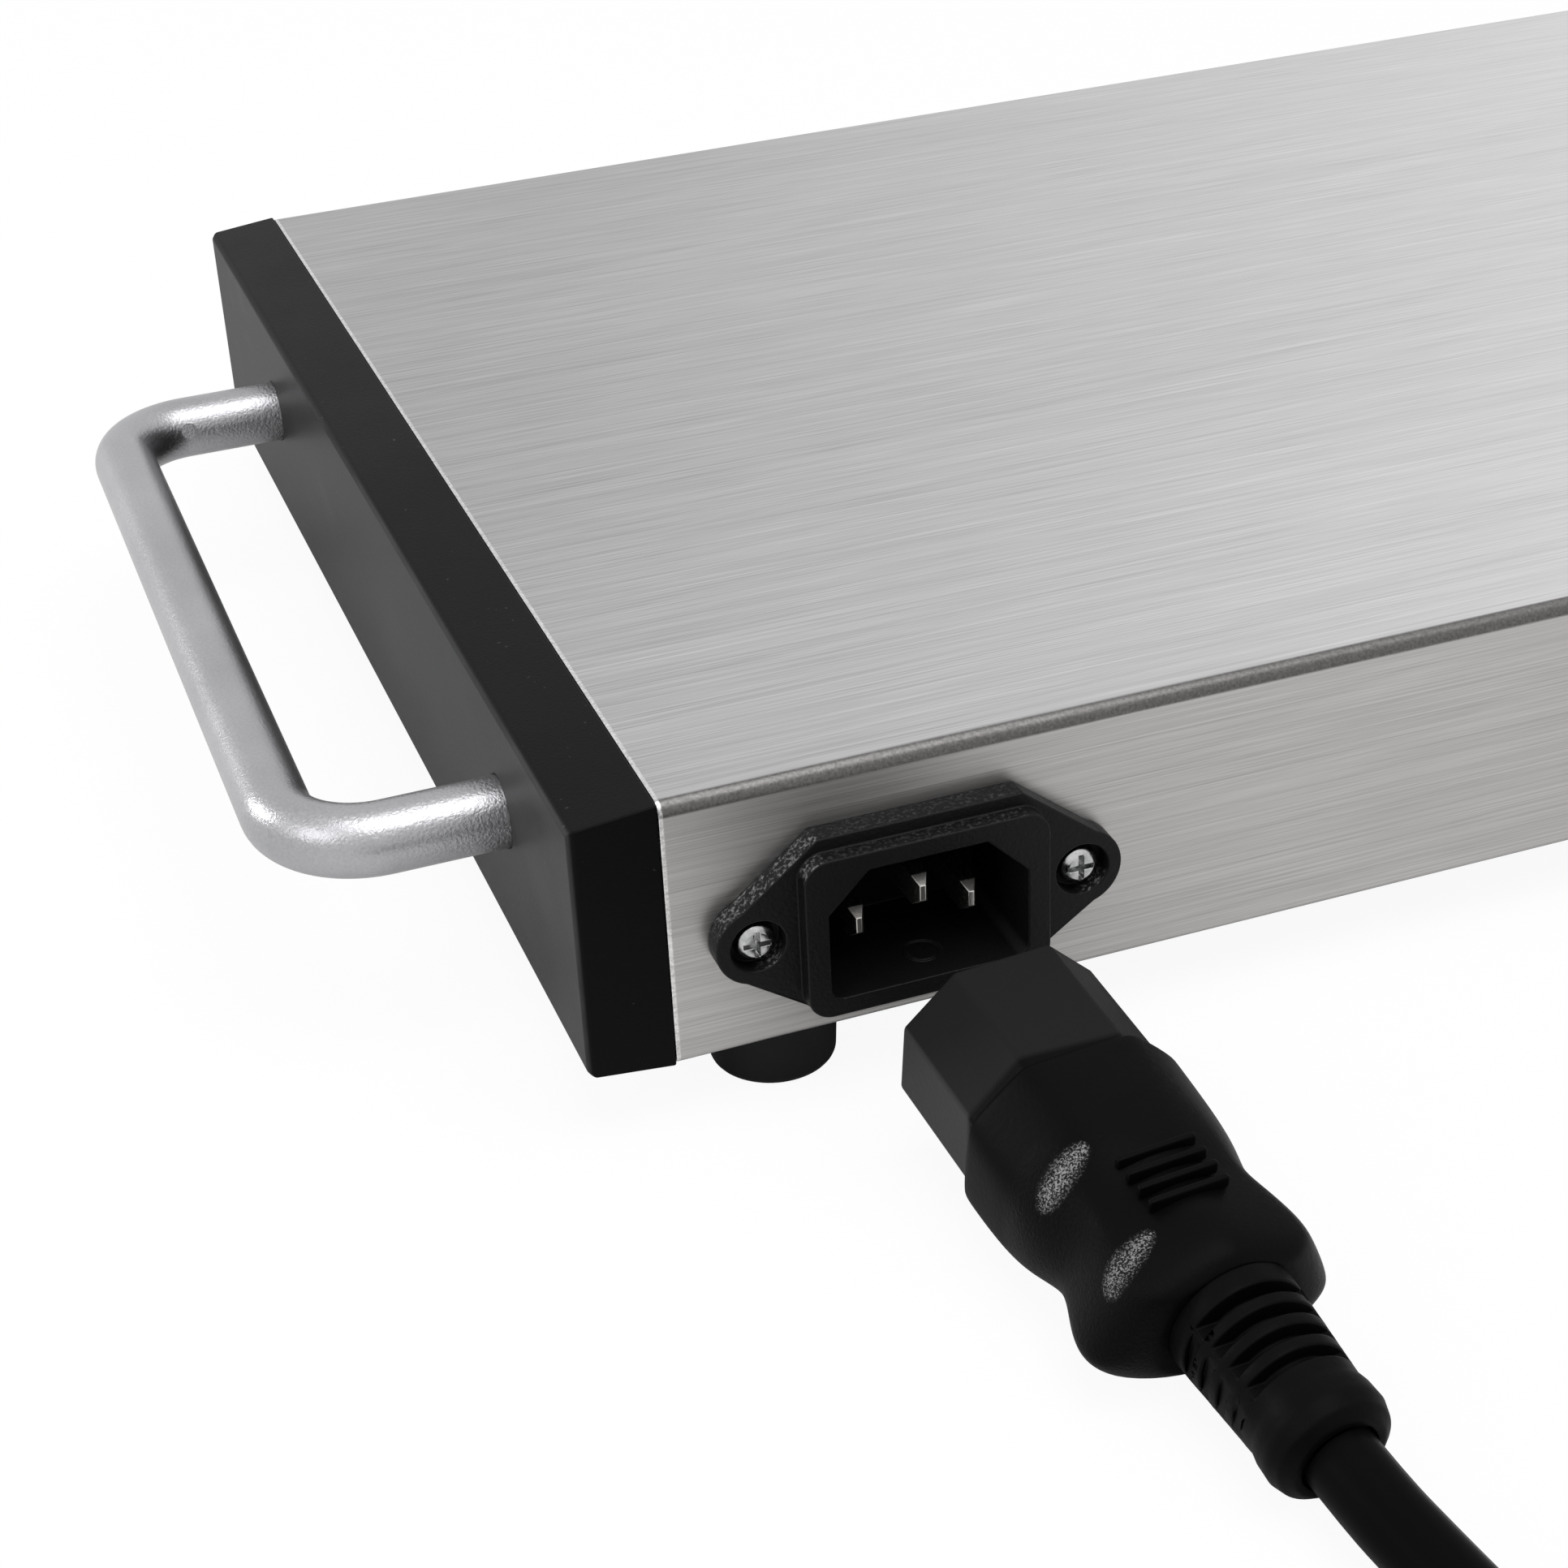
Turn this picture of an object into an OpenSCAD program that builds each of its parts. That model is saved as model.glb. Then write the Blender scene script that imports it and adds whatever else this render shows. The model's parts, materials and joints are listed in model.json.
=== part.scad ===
// Electric food warmer tray with a detachable mains lead.
// X runs along the tray, the control knob faces -Y, the mains inlet faces +Y.
// The origin is on the table, in the middle of the tray with its knob and inlet.

/* [Body] */
// Length over both end caps
body_length = 400; // [360:5:600]
// Depth from the front face to the rear face
body_depth = 206; // [200:2:260]
// Height from the underside to the top face
body_height = 35; // [34:1:45]
// Thickness of the bent stainless sheet
sheet = 1; // [0.8:0.1:1.2]
// Outside radius of the sheet's two upper bends
bend_radius = 1.8; // [1.6:0.1:3]
// Outside radius of the tighter bends under the front and rear walls
lower_radius = 1.3; // [1.3:0.1:1.6]
// Width of the folded lips under the front and rear walls
lip_width = 20; // [18:1:30]
// Gap between pieces that slide together
clearance = 0.2; // [0.1:0.05:0.3]

/* [End caps] */
// Width of an end cap along the tray
cap_width = 10.5; // [9:0.5:14]
// Wall of the cap moulding
cap_wall = 2.4; // [2:0.1:3]
// How far the top and underside slope in at the cap's outer face
cap_draft = 1; // [0.5:0.1:1.5]
// Chamfer round the cap's outer face
cap_chamfer = 0.7; // [0.4:0.1:1]
// Reach of the cap's spigot into the shell
spigot_length = 7; // [5:0.5:9]
// Wall of the spigot
spigot_wall = 2; // [1.5:0.1:2.5]
// Distance between the stiffening ribs inside a cap
rib_pitch = 22; // [16:1:30]

/* [Handles] */
// Diameter of the round bar
bar_diameter = 9; // [8:0.5:11]
// Distance between the two posts, centre to centre
handle_span = 131; // [110:1:145]
// Distance from the cap's face to the middle of the bar
handle_reach = 25; // [22:0.5:35]
// Centreline radius of the two bends
handle_bend = 11; // [8:0.5:13]
// Distance from the rear face to the middle of the handle
handle_from_rear = 97; // [90:1:103]
// Height of the bar's middle above the body's underside
handle_height = 19.5; // [16:0.5:22]
// Depth of the seat that a post stands in
seat_depth = 1; // [0.5:0.1:1.5]
// Diameter of the handle screws
handle_screw = 4; // [3:0.5:5]

/* [Feet] */
// Diameter of a foot where it meets the body
foot_diameter = 16; // [12:0.5:17]
// Height of a foot
foot_height = 8; // [6:0.5:12]
// Distance from the cap's inner plane to a foot's middle
foot_from_cap = 14.7; // [14.5:0.1:30]
// Distance from the front or rear face to a foot's middle
foot_from_side = 9.3; // [9:0.1:16]
// Diameter of the foot screws
foot_screw = 4; // [3:0.5:4]

/* [Mains inlet] */
// Distance from the cap's inner plane to the middle of the inlet
inlet_from_cap = 29.7; // [29:0.5:80]
// Height of the inlet's middle above the body's underside
inlet_height = 15.7; // [15:0.1:18]
// Distance between the two fixing screws
inlet_screw_spacing = 40; // [40:1:41]
// Diameter of the fixing screws
inlet_screw = 3; // [2.5:0.5:3.5]
// Thickness of the flange
flange_thickness = 3; // [2.5:0.1:3.5]
// Height of the flange above the inlet's middle
flange_top = 12.2; // [11:0.1:12.5]
// Height of the flange below the inlet's middle
flange_bottom = 11; // [10.6:0.1:12]
// How far the rim stands out of the flange
rim_depth = 2.2; // [1.5:0.1:3]
// Width of the rim
rim_width = 30; // [29:0.5:31]
// Height of the rim
rim_height = 21; // [20:0.5:21.5]
// Width of the socket
socket_width = 24.4; // [24:0.1:25]
// Height of the socket
socket_height = 16.4; // [16:0.1:17]
// Depth of the socket
socket_depth = 17; // [16:0.5:18]

/* [Controls] */
// Distance from the cap's inner plane to the knob's middle
knob_from_cap = 69.5; // [50:0.5:120]
// Diameter of the knob's skirt
knob_diameter = 28; // [24:1:30]
// Height of the knob
knob_height = 16; // [14:0.5:20]
// Gap between the front face and the knob
knob_gap = 1.2; // [1:0.1:2]
// Diameter of the thermostat's shaft
shaft_diameter = 6; // [5:0.5:6]
// Distance from the knob to the indicator lamp
lamp_spacing = 34; // [30:1:50]
// Diameter of the indicator lens
lamp_diameter = 9; // [7:0.5:12]

/* [Heater] */
// Clear space between the heater stack and the end caps' spigots
heater_end_gap = 12; // [10:1:30]
// Clear space between the heater stack and the front and rear faces
heater_side_gap = 25; // [24.5:0.5:32]
// Thickness of the aluminium heat plate
heat_plate_thickness = 2; // [1.5:0.5:2]
// Diameter of the sheathed element
element_diameter = 6.5; // [6:0.5:7]
// Distance between the element's runs
element_pitch = 25; // [22:1:25]
// Thickness of the insulation pad
pad_thickness = 4; // [3:0.5:5]

/* [Mains lead] */
// Diameter of the cord
cord_diameter = 8; // [8:0.5:8]
// Length of the connector's nose
nose_length = 17; // [16:0.5:18]
// Width of the connector's nose
nose_width = 23.8; // [23:0.1:24]
// Height of the connector's nose
nose_height = 15.8; // [15:0.1:16]
// Length of the grip behind the nose
grip_length = 33; // [32:1:35]
// Length of the ribbed strain relief
relief_length = 20; // [19:1:22]
// Number of grooves in the strain relief
relief_grooves = 4; // [3:1:5]
// Thickness of the tie round the coil
tie_thickness = 0.6; // [0.5:0.1:0.6]
// Width of the tie
tie_width = 12; // [10:1:14]

/* [Hidden] */

// Finishes
steel = [0.74, 0.74, 0.75];
zinc = [0.62, 0.63, 0.65];
aluminium = [0.82, 0.82, 0.83];
black = [0.11, 0.11, 0.12];
rubber = [0.07, 0.07, 0.07];
brass = [0.78, 0.66, 0.38];
ceramic = [0.90, 0.88, 0.82];

// Main planes
eps = 0.01;
rear_reach = flange_thickness + rim_depth;
front_reach = knob_gap + knob_height;
mid_y = (front_reach - rear_reach) / 2;
rear_y = mid_y + body_depth / 2;
front_y = mid_y - body_depth / 2;
under_z = foot_height;
top_z = foot_height + body_height;
joint_x = body_length / 2 - cap_width;
face_x = body_length / 2;

// Shell and base plate
inner_depth = body_depth - 2 * sheet;
inner_height = body_height - 2 * sheet;
plate_z = under_z + sheet;
plate_end = joint_x - spigot_length - 2 * clearance;
vent_length = 34;
vent_width = 4;
vent_pitch = 12;
vent_count = 9;
vent_row_x = 70;

// Handles
bar_r = bar_diameter / 2;
handle_y = rear_y - handle_from_rear;
handle_z = under_z + handle_height;
post_side = [-1, 1];
boss_r = bar_r + 2.5;
boss_back = joint_x;
screw_play = 0.05;
dimple_r = 1.2;
dimple_from_face = 14.5;

// Feet
foot_x = joint_x - foot_from_cap;
foot_rear_y = rear_y - foot_from_side;
foot_front_y = front_y + foot_from_side;
foot_top_r = foot_diameter / 2;
foot_bottom_r = foot_top_r - 0.35;
foot_round = 1.2;
foot_bore_r = foot_screw / 2 + clearance;
foot_sink_r = foot_screw + 0.3;
foot_sink = 4;
foot_nut = 0.8 * foot_screw;

// Inlet
inlet_x = joint_x - inlet_from_cap;
inlet_z = under_z + inlet_height;
rim_y = rear_y + rear_reach;
socket_floor_y = rim_y - socket_depth;
socket_back = 2.4;
socket_chamfer = 5;
housing_wall = 1.7;
ear_r = 5;
ear_floor = 0.7;
nut_m3_across = 5.5;
nut_m3_height = 2.4;
pin_w = 2;
pin_h = 4;
pin_spacing = 14;
pin_rise = 2;
pin_length = 12.5;
pin_tip = 1.3;
earth_reach = 2.4;
tab_length = 8;

// Controls
knob_x = joint_x - knob_from_cap;
axis_z = under_z + body_height / 2;
bush_r = 5;
bush_out = 5;
nut_across = 14;
nut_height = 3;
body_w = 26;
body_h = 22;
body_d = heater_side_gap - sheet - 2;
shaft_r = shaft_diameter / 2;
shaft_play = 0.05;
shaft_flat = 0.8;
knob_back_y = front_y - knob_gap;
knob_r = knob_diameter / 2;
knob_skirt = 3;
knob_grip_r = knob_r - 3;
knob_flutes = 14;
dial_thickness = 0.6;
dial_r = knob_r + 1.8;
lamp_x = knob_x - lamp_spacing;
lamp_r = lamp_diameter / 2;

// Heater
stack_x = joint_x - spigot_length - heater_end_gap;
stack_y = body_depth / 2 - heater_side_gap;
heat_z = top_z - sheet - heat_plate_thickness;
element_r = element_diameter / 2;
element_z = heat_z - element_r;
element_runs = 6;
element_end = stack_x - element_pitch / 2 - element_r - 6;
clip_sheet = 1;
clip_width = 10;
clip_foot = 5;
pad_z = element_z - element_r - clip_sheet - 0.2 - pad_thickness;
shield_sheet = 0.8;
shield_z = pad_z - shield_sheet;
spacer_inset = 30;
spacer_x = stack_x - spacer_inset;
spacer_y = stack_y - spacer_inset;
spacer_r = 4;
spacer_bore_r = 1.6;
spacer_thread = 8;
spacer_screw_length = 6;

// Mains lead: it lies on the table behind the inlet. The route is measured from the point on
// the table under the inlet's middle, in the plane of the rear face.
lead_from = [inlet_x, rear_y, 0];
lead_turn = 4.8;
lead_dip = 8;
cord_r = cord_diameter / 2;
connector_length = nose_length + grip_length + relief_length;
nose_cut = 6;
rib_length = 8.8;
cord_points = [
    [-9.4, 84.6, 6.7], [-10.3, 92, 5.75], [-11, 96, 5.3], [-11.7, 100, 4.95], [-12.4, 104, 4.65],
    [-13, 108, 4.45], [-13.6, 112, 4.3], [-14.1, 116, 4.2], [-14.5, 120, 4.2], [-14.9, 124, 4.2],
    [-15.2, 128, 4.25], [-15.4, 132, 4.3], [-15.6, 136, 4.4], [-15.7, 142, 4.5], [-15.8, 146, 4.6],
    [-15.8, 151, 4.6]];
cord_route = [for (p = cord_points) lead_from + p];
lead_dir = [-sin(lead_turn) * cos(lead_dip), cos(lead_turn) * cos(lead_dip), -sin(lead_dip)];
nose_origin = cord_route[0] - connector_length * lead_dir;

// Coil: two layers, in along the table and out on top
coil_from_rear = 159;
coil_outer_r = 55.6;
coil_pitch = 9.6;
coil_layer = 9;
coil_turns = 2.375;
coil_climb = 0.5;
coil_steps = 24;
coil_z = tie_thickness + cord_r;
coil_centre = [cord_route[len(cord_route) - 1][0] + coil_outer_r, lead_from[1] + coil_from_rear];
coil_inner_r = coil_outer_r - coil_pitch * coil_turns;
coil_total = 2 * coil_turns + coil_climb;
coil_last = coil_total * coil_steps;
coil_sides = 6;
run_sides = 10;
tie_gap = 0.7;
plug_z = coil_z + coil_layer;
plug_relief = 30;
plug_face_r = 18.5;

function coil_r(t) = t < coil_turns ? coil_outer_r - coil_pitch * t
    : t < coil_turns + coil_climb ? coil_inner_r
    : coil_inner_r + coil_pitch * (t - coil_turns - coil_climb);
function coil_h(t) = t < coil_turns ? coil_z
    : t < coil_turns + coil_climb ? coil_z + coil_layer * (t - coil_turns) / coil_climb
    : coil_z + coil_layer;
function coil_point(t) = [coil_centre[0] - coil_r(t) * cos(360 * t),
    coil_centre[1] + coil_r(t) * sin(360 * t), coil_h(t)];
coil_turn_points = [for (i = [0 : coil_last]) coil_point(i / coil_steps)];
coil_start = coil_point(0);
coil_end = coil_point(coil_total);
coil_points = concat([coil_start - [0, cord_diameter, 0]], coil_turn_points,
    [coil_end + [cord_diameter, 0, 0]]);
plug_start = coil_end + [cord_diameter, 0, 0];

// Lengths and the coil's least gap to itself
function path_length(p) = let (steps = [for (i = [1 : len(p) - 1]) norm(p[i] - p[i - 1])])
    steps * [for (s = steps) 1];
coil_gap = min([for (i = [0 : coil_last]) for (j = [i + 12 : 1 : coil_last])
    norm(coil_turn_points[i] - coil_turn_points[j])]) - cord_diameter;
echo(coil_gap = coil_gap);
echo(cord_length = path_length(cord_route) + path_length(coil_points));

// Unit vector and a tube swept along points, its rings square to the path
function unit(v) = v / norm(v);
function tangent(p, i) = unit(p[min(i + 1, len(p) - 1)] - p[max(i - 1, 0)]);
function side_of(t) = unit(cross(t, [0, 0, 1]));
function tube_ring(c, t, r, n) = let (s = side_of(t), u = cross(s, t))
    [for (k = [0 : n - 1]) c + r * (cos(360 * k / n) * s + sin(360 * k / n) * u)];

module tube(p, r, n) {
    last = len(p) - 1;
    rings = [for (i = [0 : last]) each tube_ring(p[i], tangent(p, i), r, n)];
    sides = [for (i = [0 : last - 1]) for (k = [0 : n - 1]) let (a = i * n + k,
        b = i * n + (k + 1) % n) each [[a, b, a + n], [b, b + n, a + n]]];
    first_cap = [for (k = [1 : n - 2]) [0, k + 1, k]];
    last_cap = [for (k = [1 : n - 2]) [last * n, last * n + k, last * n + k + 1]];
    polyhedron(rings, concat(sides, first_cap, last_cap), convexity = 8);
}

// Extrusions along X and along +Y, from outlines drawn as (y, z) and (x, z)
module along_x(length) {
    rotate([90, 0, 90])
        linear_extrude(length)
            children();
}

module along_y(length) {
    translate([0, length, 0])
        rotate([90, 0, 0])
            linear_extrude(length)
                children();
}

// Round bars along X and along Y from the current point
module rod_x(length, r, faces = 48) {
    rotate([0, 90, 0])
        cylinder(h = length, r = r, $fn = faces);
}

module rod_y(length, r, faces = 48) {
    rotate([-90, 0, 0])
        cylinder(h = length, r = r, $fn = faces);
}

// Rectangle with round corners, its middle at the origin
module round_rect(w, h, r) {
    square([w, h - 2 * r], center = true);
    square([w - 2 * r, h], center = true);
    for (sx = [-1, 1])
        for (sy = [-1, 1])
            translate([sx * (w / 2 - r), sy * (h / 2 - r)])
                circle(r, $fn = 32);
}

// Slot with round ends, along its first axis
module slot_2d(length, width) {
    square([length - width, width], center = true);
    for (s = [-1, 1])
        translate([s * (length - width) / 2, 0])
            circle(d = width, $fn = 24);
}

// Pan-head screw standing on its head, with a cross recess, its shank up along Z
module pan_screw(d, length, head_share = 1) {
    head_r = d * head_share;
    head_h = 0.65 * d;
    recess = 0.22 * d;
    difference() {
        union() {
            rotate_extrude($fn = 48)
                polygon([[0, 0], [head_r * 0.62, 0], [head_r * 0.9, head_h * 0.3],
                    [head_r, head_h * 0.75], [head_r, head_h], [0, head_h]]);
            cylinder(h = head_h + length, r = d / 2 - screw_play, $fn = 32);
        }
        for (a = [0, 90])
            rotate([0, 0, a])
                translate([0, 0, recess - eps])
                    cube([1.1 * d, recess, 2 * recess], center = true);
    }
}

// Hexagon nut along Z
module hex_nut(d, across, height) {
    difference() {
        cylinder(h = height, d = across / cos(30), $fn = 6);
        translate([0, 0, -eps])
            cylinder(h = height + 2 * eps, r = d / 2, $fn = 32);
    }
}

// Rectangle whose lower corners are tighter than its upper ones, wall inside the sheet's face
module folded_2d(w, h, wall) {
    round_rect(w, h, bend_radius - wall);
    translate([0, -h / 4])
        round_rect(w, h / 2, lower_radius - wall);
}

// Outline of the bent channel, as (y, z) about its middle
module channel_2d() {
    lip_gap = inner_depth - 2 * lip_width;
    difference() {
        folded_2d(body_depth, body_height, 0);
        folded_2d(inner_depth, inner_height, sheet);
        translate([0, -body_height / 2])
            square([lip_gap, 3 * sheet], center = true);
    }
}

module foot_places() {
    for (sx = [-1, 1])
        for (y = [foot_front_y, foot_rear_y])
            translate([sx * foot_x, y, 0])
                children();
}

module inlet_screw_places() {
    for (s = [-1, 1])
        translate([inlet_x + s * inlet_screw_spacing / 2, 0, inlet_z])
            children();
}

module top_shell() {
    color(steel)
        difference() {
            translate([-joint_x, mid_y, under_z + body_height / 2])
                along_x(2 * joint_x)
                    channel_2d();
            translate([inlet_x, rear_y - 2 * sheet, inlet_z])
                along_y(3 * sheet)
                    round_rect(socket_width + 2 * (housing_wall + clearance),
                        socket_height + 2 * (housing_wall + clearance), 2);
            inlet_screw_places()
                translate([0, rear_y - 2 * sheet, 0])
                    rod_y(3 * sheet, inlet_screw / 2 + clearance, 32);
            translate([knob_x, front_y - sheet, axis_z])
                rod_y(3 * sheet, bush_r + clearance);
            translate([lamp_x, front_y - sheet, axis_z])
                rod_y(3 * sheet, lamp_r - 0.5 + clearance);
            foot_places()
                translate([0, 0, under_z - sheet])
                    cylinder(h = 3 * sheet, r = foot_bore_r, $fn = 32);
        }
}

module base_plate() {
    width = inner_depth - 2 * (bend_radius - sheet) - 2 * clearance;
    color(zinc)
        difference() {
            translate([-plate_end, mid_y - width / 2, plate_z])
                cube([2 * plate_end, width, sheet]);
            foot_places()
                translate([0, 0, plate_z - sheet])
                    cylinder(h = 3 * sheet, r = foot_bore_r, $fn = 32);
            for (sx = [-1, 1])
                for (sy = [-1, 1])
                    translate([sx * spacer_x, mid_y + sy * spacer_y, plate_z - sheet])
                        cylinder(h = 3 * sheet, r = spacer_bore_r + clearance, $fn = 32);
            for (row = [-1, 1])
                for (i = [0 : vent_count - 1])
                    translate([row * vent_row_x, mid_y + (i - (vent_count - 1) / 2) * vent_pitch,
                            plate_z - sheet])
                        linear_extrude(3 * sheet)
                            slot_2d(vent_length, vent_width);
        }
}

// Body of the right-hand cap: a drafted side profile cut by a plan with chamfered corners
module cap_block(wall) {
    low = wall;
    high = body_height - wall;
    reach = cap_width - wall;
    chamfer = wall > 0 ? 0 : cap_chamfer;
    draft = cap_draft;
    back = -wall;
    intersection() {
        translate([joint_x, front_y + wall, under_z])
            along_y(body_depth - 2 * wall)
                polygon([[back, low], [0, low], [reach - chamfer, low + draft],
                    [reach, low + draft + chamfer], [reach, high - draft - chamfer],
                    [reach - chamfer, high - draft], [0, high], [back, high]]);
        translate([joint_x, 0, under_z])
            linear_extrude(body_height)
                polygon([[back, front_y + wall], [reach - chamfer, front_y + wall],
                    [reach, front_y + wall + chamfer], [reach, rear_y - wall - chamfer],
                    [reach - chamfer, rear_y - wall], [back, rear_y - wall]]);
    }
}

module spigot() {
    outer_w = inner_depth - 2 * clearance;
    outer_h = inner_height - 2 * clearance;
    translate([joint_x - spigot_length, mid_y, under_z + body_height / 2])
        along_x(spigot_length + cap_wall)
            difference() {
                square([outer_w, outer_h], center = true);
                square([outer_w - 2 * spigot_wall, outer_h - 2 * spigot_wall], center = true);
            }
}

module handle_posts() {
    for (s = post_side)
        translate([0, handle_y + s * handle_span / 2, handle_z])
            children();
}

module end_cap() {
    rib_reach = cap_width - cap_wall;
    rib_count = floor((body_depth / 2 - 2 * cap_wall) / rib_pitch);
    color(black)
        difference() {
            union() {
                difference() {
                    cap_block(0);
                    cap_block(cap_wall);
                }
                spigot();
                handle_posts()
                    translate([boss_back, 0, 0])
                        rod_x(cap_width - cap_wall / 2, boss_r);
                for (i = [-rib_count : rib_count])
                    translate([joint_x + 1, mid_y + i * rib_pitch - 0.8, under_z + cap_wall / 2])
                        cube([rib_reach - 1 + eps, 1.6, body_height - cap_wall]);
            }
            handle_posts()
                translate([face_x - seat_depth, 0, 0])
                    rod_x(2 * seat_depth, bar_r + screw_play);
            handle_posts()
                translate([boss_back - 1, 0, 0])
                    rod_x(cap_width + 2, handle_screw / 2 + clearance, 32);
            inlet_screw_places()
                translate([0, rear_y - sheet - spigot_wall - 1, 0])
                    rod_y(spigot_wall + 1, nut_m3_across / 2 + 1, 48);
        }
}

module end_cap_right() {
    end_cap();
}

module end_cap_left() {
    mirror([1, 0, 0])
        end_cap();
}

module handle_bar() {
    post = handle_reach + seat_depth - handle_bend;
    color(aluminium)
        difference() {
            union() {
                handle_posts()
                    translate([face_x - seat_depth, 0, 0])
                        rod_x(post, bar_r);
                for (s = post_side)
                    translate([face_x + handle_reach - handle_bend,
                            handle_y + s * (handle_span / 2 - handle_bend), handle_z])
                        rotate([0, 0, s > 0 ? 0 : -90])
                            rotate_extrude(angle = 90, $fn = 96)
                                translate([handle_bend, 0])
                                    circle(bar_r, $fn = 48);
                translate([face_x + handle_reach, handle_y - handle_span / 2 + handle_bend,
                        handle_z])
                    rod_y(handle_span - 2 * handle_bend, bar_r);
            }
            handle_posts()
                translate([face_x - seat_depth - eps, 0, 0])
                    rod_x(handle_reach - handle_bend, handle_screw / 2, 32);
            translate([face_x + dimple_from_face, handle_y - handle_span / 2, handle_z])
                rotate([-20, 0, 0])
                    translate([0, bar_r - 0.5, 0])
                        rod_y(2, dimple_r, 24);
        }
}

module handle_right() {
    handle_bar();
}

module handle_left() {
    mirror([1, 0, 0])
        handle_bar();
}

module handle_screw_pair() {
    head = 0.65 * handle_screw;
    color(zinc)
        handle_posts()
            translate([boss_back - head, 0, 0])
                rotate([0, 90, 0])
                    pan_screw(handle_screw, cap_width - seat_depth + 10);
}

module handle_screws_right() {
    handle_screw_pair();
}

module handle_screws_left() {
    mirror([1, 0, 0])
        handle_screw_pair();
}

// Round rubber foot, its side tapering down to a rounded edge
module foot() {
    edge = [for (a = [0 : 15 : 90]) [foot_bottom_r - foot_round + foot_round * sin(a),
        foot_round - foot_round * cos(a)]];
    color(rubber)
        difference() {
            rotate_extrude($fn = 64)
                polygon(concat([[0, 0]], edge, [[foot_top_r, foot_height], [0, foot_height]]));
            translate([0, 0, -eps])
                cylinder(h = foot_height + 1, r = foot_bore_r, $fn = 32);
            translate([0, 0, -eps])
                cylinder(h = foot_sink, r = foot_sink_r, $fn = 48);
        }
}

module foot_rear_right() {
    translate([foot_x, foot_rear_y, 0])
        foot();
}

module foot_rear_left() {
    translate([-foot_x, foot_rear_y, 0])
        foot();
}

module foot_front_right() {
    translate([foot_x, foot_front_y, 0])
        foot();
}

module foot_front_left() {
    translate([-foot_x, foot_front_y, 0])
        foot();
}

module foot_screws() {
    head = 0.65 * foot_screw;
    color(zinc)
        foot_places()
            translate([0, 0, foot_sink - head - eps])
                pan_screw(foot_screw, foot_height - foot_sink + 2 * sheet + foot_nut + 0.2);
}

module foot_nuts() {
    color(zinc)
        foot_places()
            translate([0, 0, plate_z + sheet])
                hex_nut(foot_screw, 1.75 * foot_screw, foot_nut);
}

// Socket outline: two top corners cut off, as (x, z) about the socket's middle
module socket_2d(grow) {
    w = socket_width / 2 + grow;
    h = socket_height / 2 + grow;
    c = socket_chamfer + grow * 0.4;
    r = 1.5 + grow * 0.4;
    difference() {
        round_rect(2 * w, 2 * h, r);
        for (s = [-1, 1])
            polygon([[s * (w - c), h + 1], [s * (w + 1), h + 1], [s * (w + 1), h - c],
                [s * w, h - c], [s * (w - c), h]]);
    }
}

// Flange outline: a straight-edged middle running to a round ear at each screw
module flange_2d() {
    flat = rim_width / 2 - 2.5;
    ear = inlet_screw_spacing / 2;
    lean = atan((flange_bottom - ear_r) / (ear - flat));
    tip_x = ear + ear_r * sin(lean) * 0.9;
    tip_z = ear_r * cos(lean);
    polygon([[-flat, flange_top], [flat, flange_top], [tip_x, tip_z], [tip_x, -tip_z],
        [flat, -flange_bottom], [-flat, -flange_bottom], [-tip_x, -tip_z], [-tip_x, tip_z]]);
    for (s = [-1, 1])
        translate([s * ear, 0])
            circle(ear_r, $fn = 48);
}

module pin_places() {
    for (s = [-1, 0, 1])
        translate([inlet_x + s * pin_spacing / 2, socket_floor_y,
                inlet_z + (s == 0 ? pin_rise : -pin_rise)])
            children();
}

module inlet_housing() {
    color(black)
        difference() {
            union() {
                translate([inlet_x, rear_y, inlet_z])
                    along_y(flange_thickness)
                        flange_2d();
                translate([inlet_x, rear_y, inlet_z])
                    along_y(rear_reach)
                        round_rect(rim_width, rim_height, 3);
                translate([inlet_x, socket_floor_y - socket_back, inlet_z])
                    along_y(rear_y - socket_floor_y + socket_back + eps)
                        round_rect(socket_width + 2 * housing_wall,
                            socket_height + 2 * housing_wall, 2);
            }
            translate([inlet_x, socket_floor_y, inlet_z])
                along_y(socket_depth + 1)
                    socket_2d(0);
            translate([inlet_x - 1, rim_y - 5.5, inlet_z - socket_height / 2 - 0.3])
                linear_extrude(0.6)
                    difference() {
                        circle(2.3, $fn = 48);
                        circle(1.9, $fn = 48);
                    }
            pin_places()
                translate([-pin_w / 2, -socket_back - 1, -pin_h / 2])
                    cube([pin_w, socket_back + 2, pin_h]);
            inlet_screw_places()
                translate([0, rear_y - 1, 0])
                    rod_y(flange_thickness + 2, inlet_screw / 2 + clearance, 32);
            inlet_screw_places()
                translate([0, rear_y + ear_floor, 0])
                    rod_y(flange_thickness, inlet_screw + 0.3);
        }
}

// Flat blade, its tip bevelled on all four sides, as (x, y) and (y, z) outlines that meet
module blade(length) {
    back = -socket_back - 1;
    shoulder = length - pin_tip;
    half_w = pin_w / 2;
    half_h = pin_h / 2;
    intersection() {
        translate([0, 0, -half_h])
            linear_extrude(pin_h)
                polygon([[-half_w, back], [half_w, back], [half_w, shoulder], [0.35 * half_w, length],
                    [-0.35 * half_w, length], [-half_w, shoulder]]);
        translate([-half_w, 0, 0])
            along_x(pin_w)
                polygon([[back, -half_h], [shoulder, -half_h], [length, -0.5 * half_h],
                    [length, 0.5 * half_h], [shoulder, half_h], [back, half_h]]);
    }
}

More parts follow.
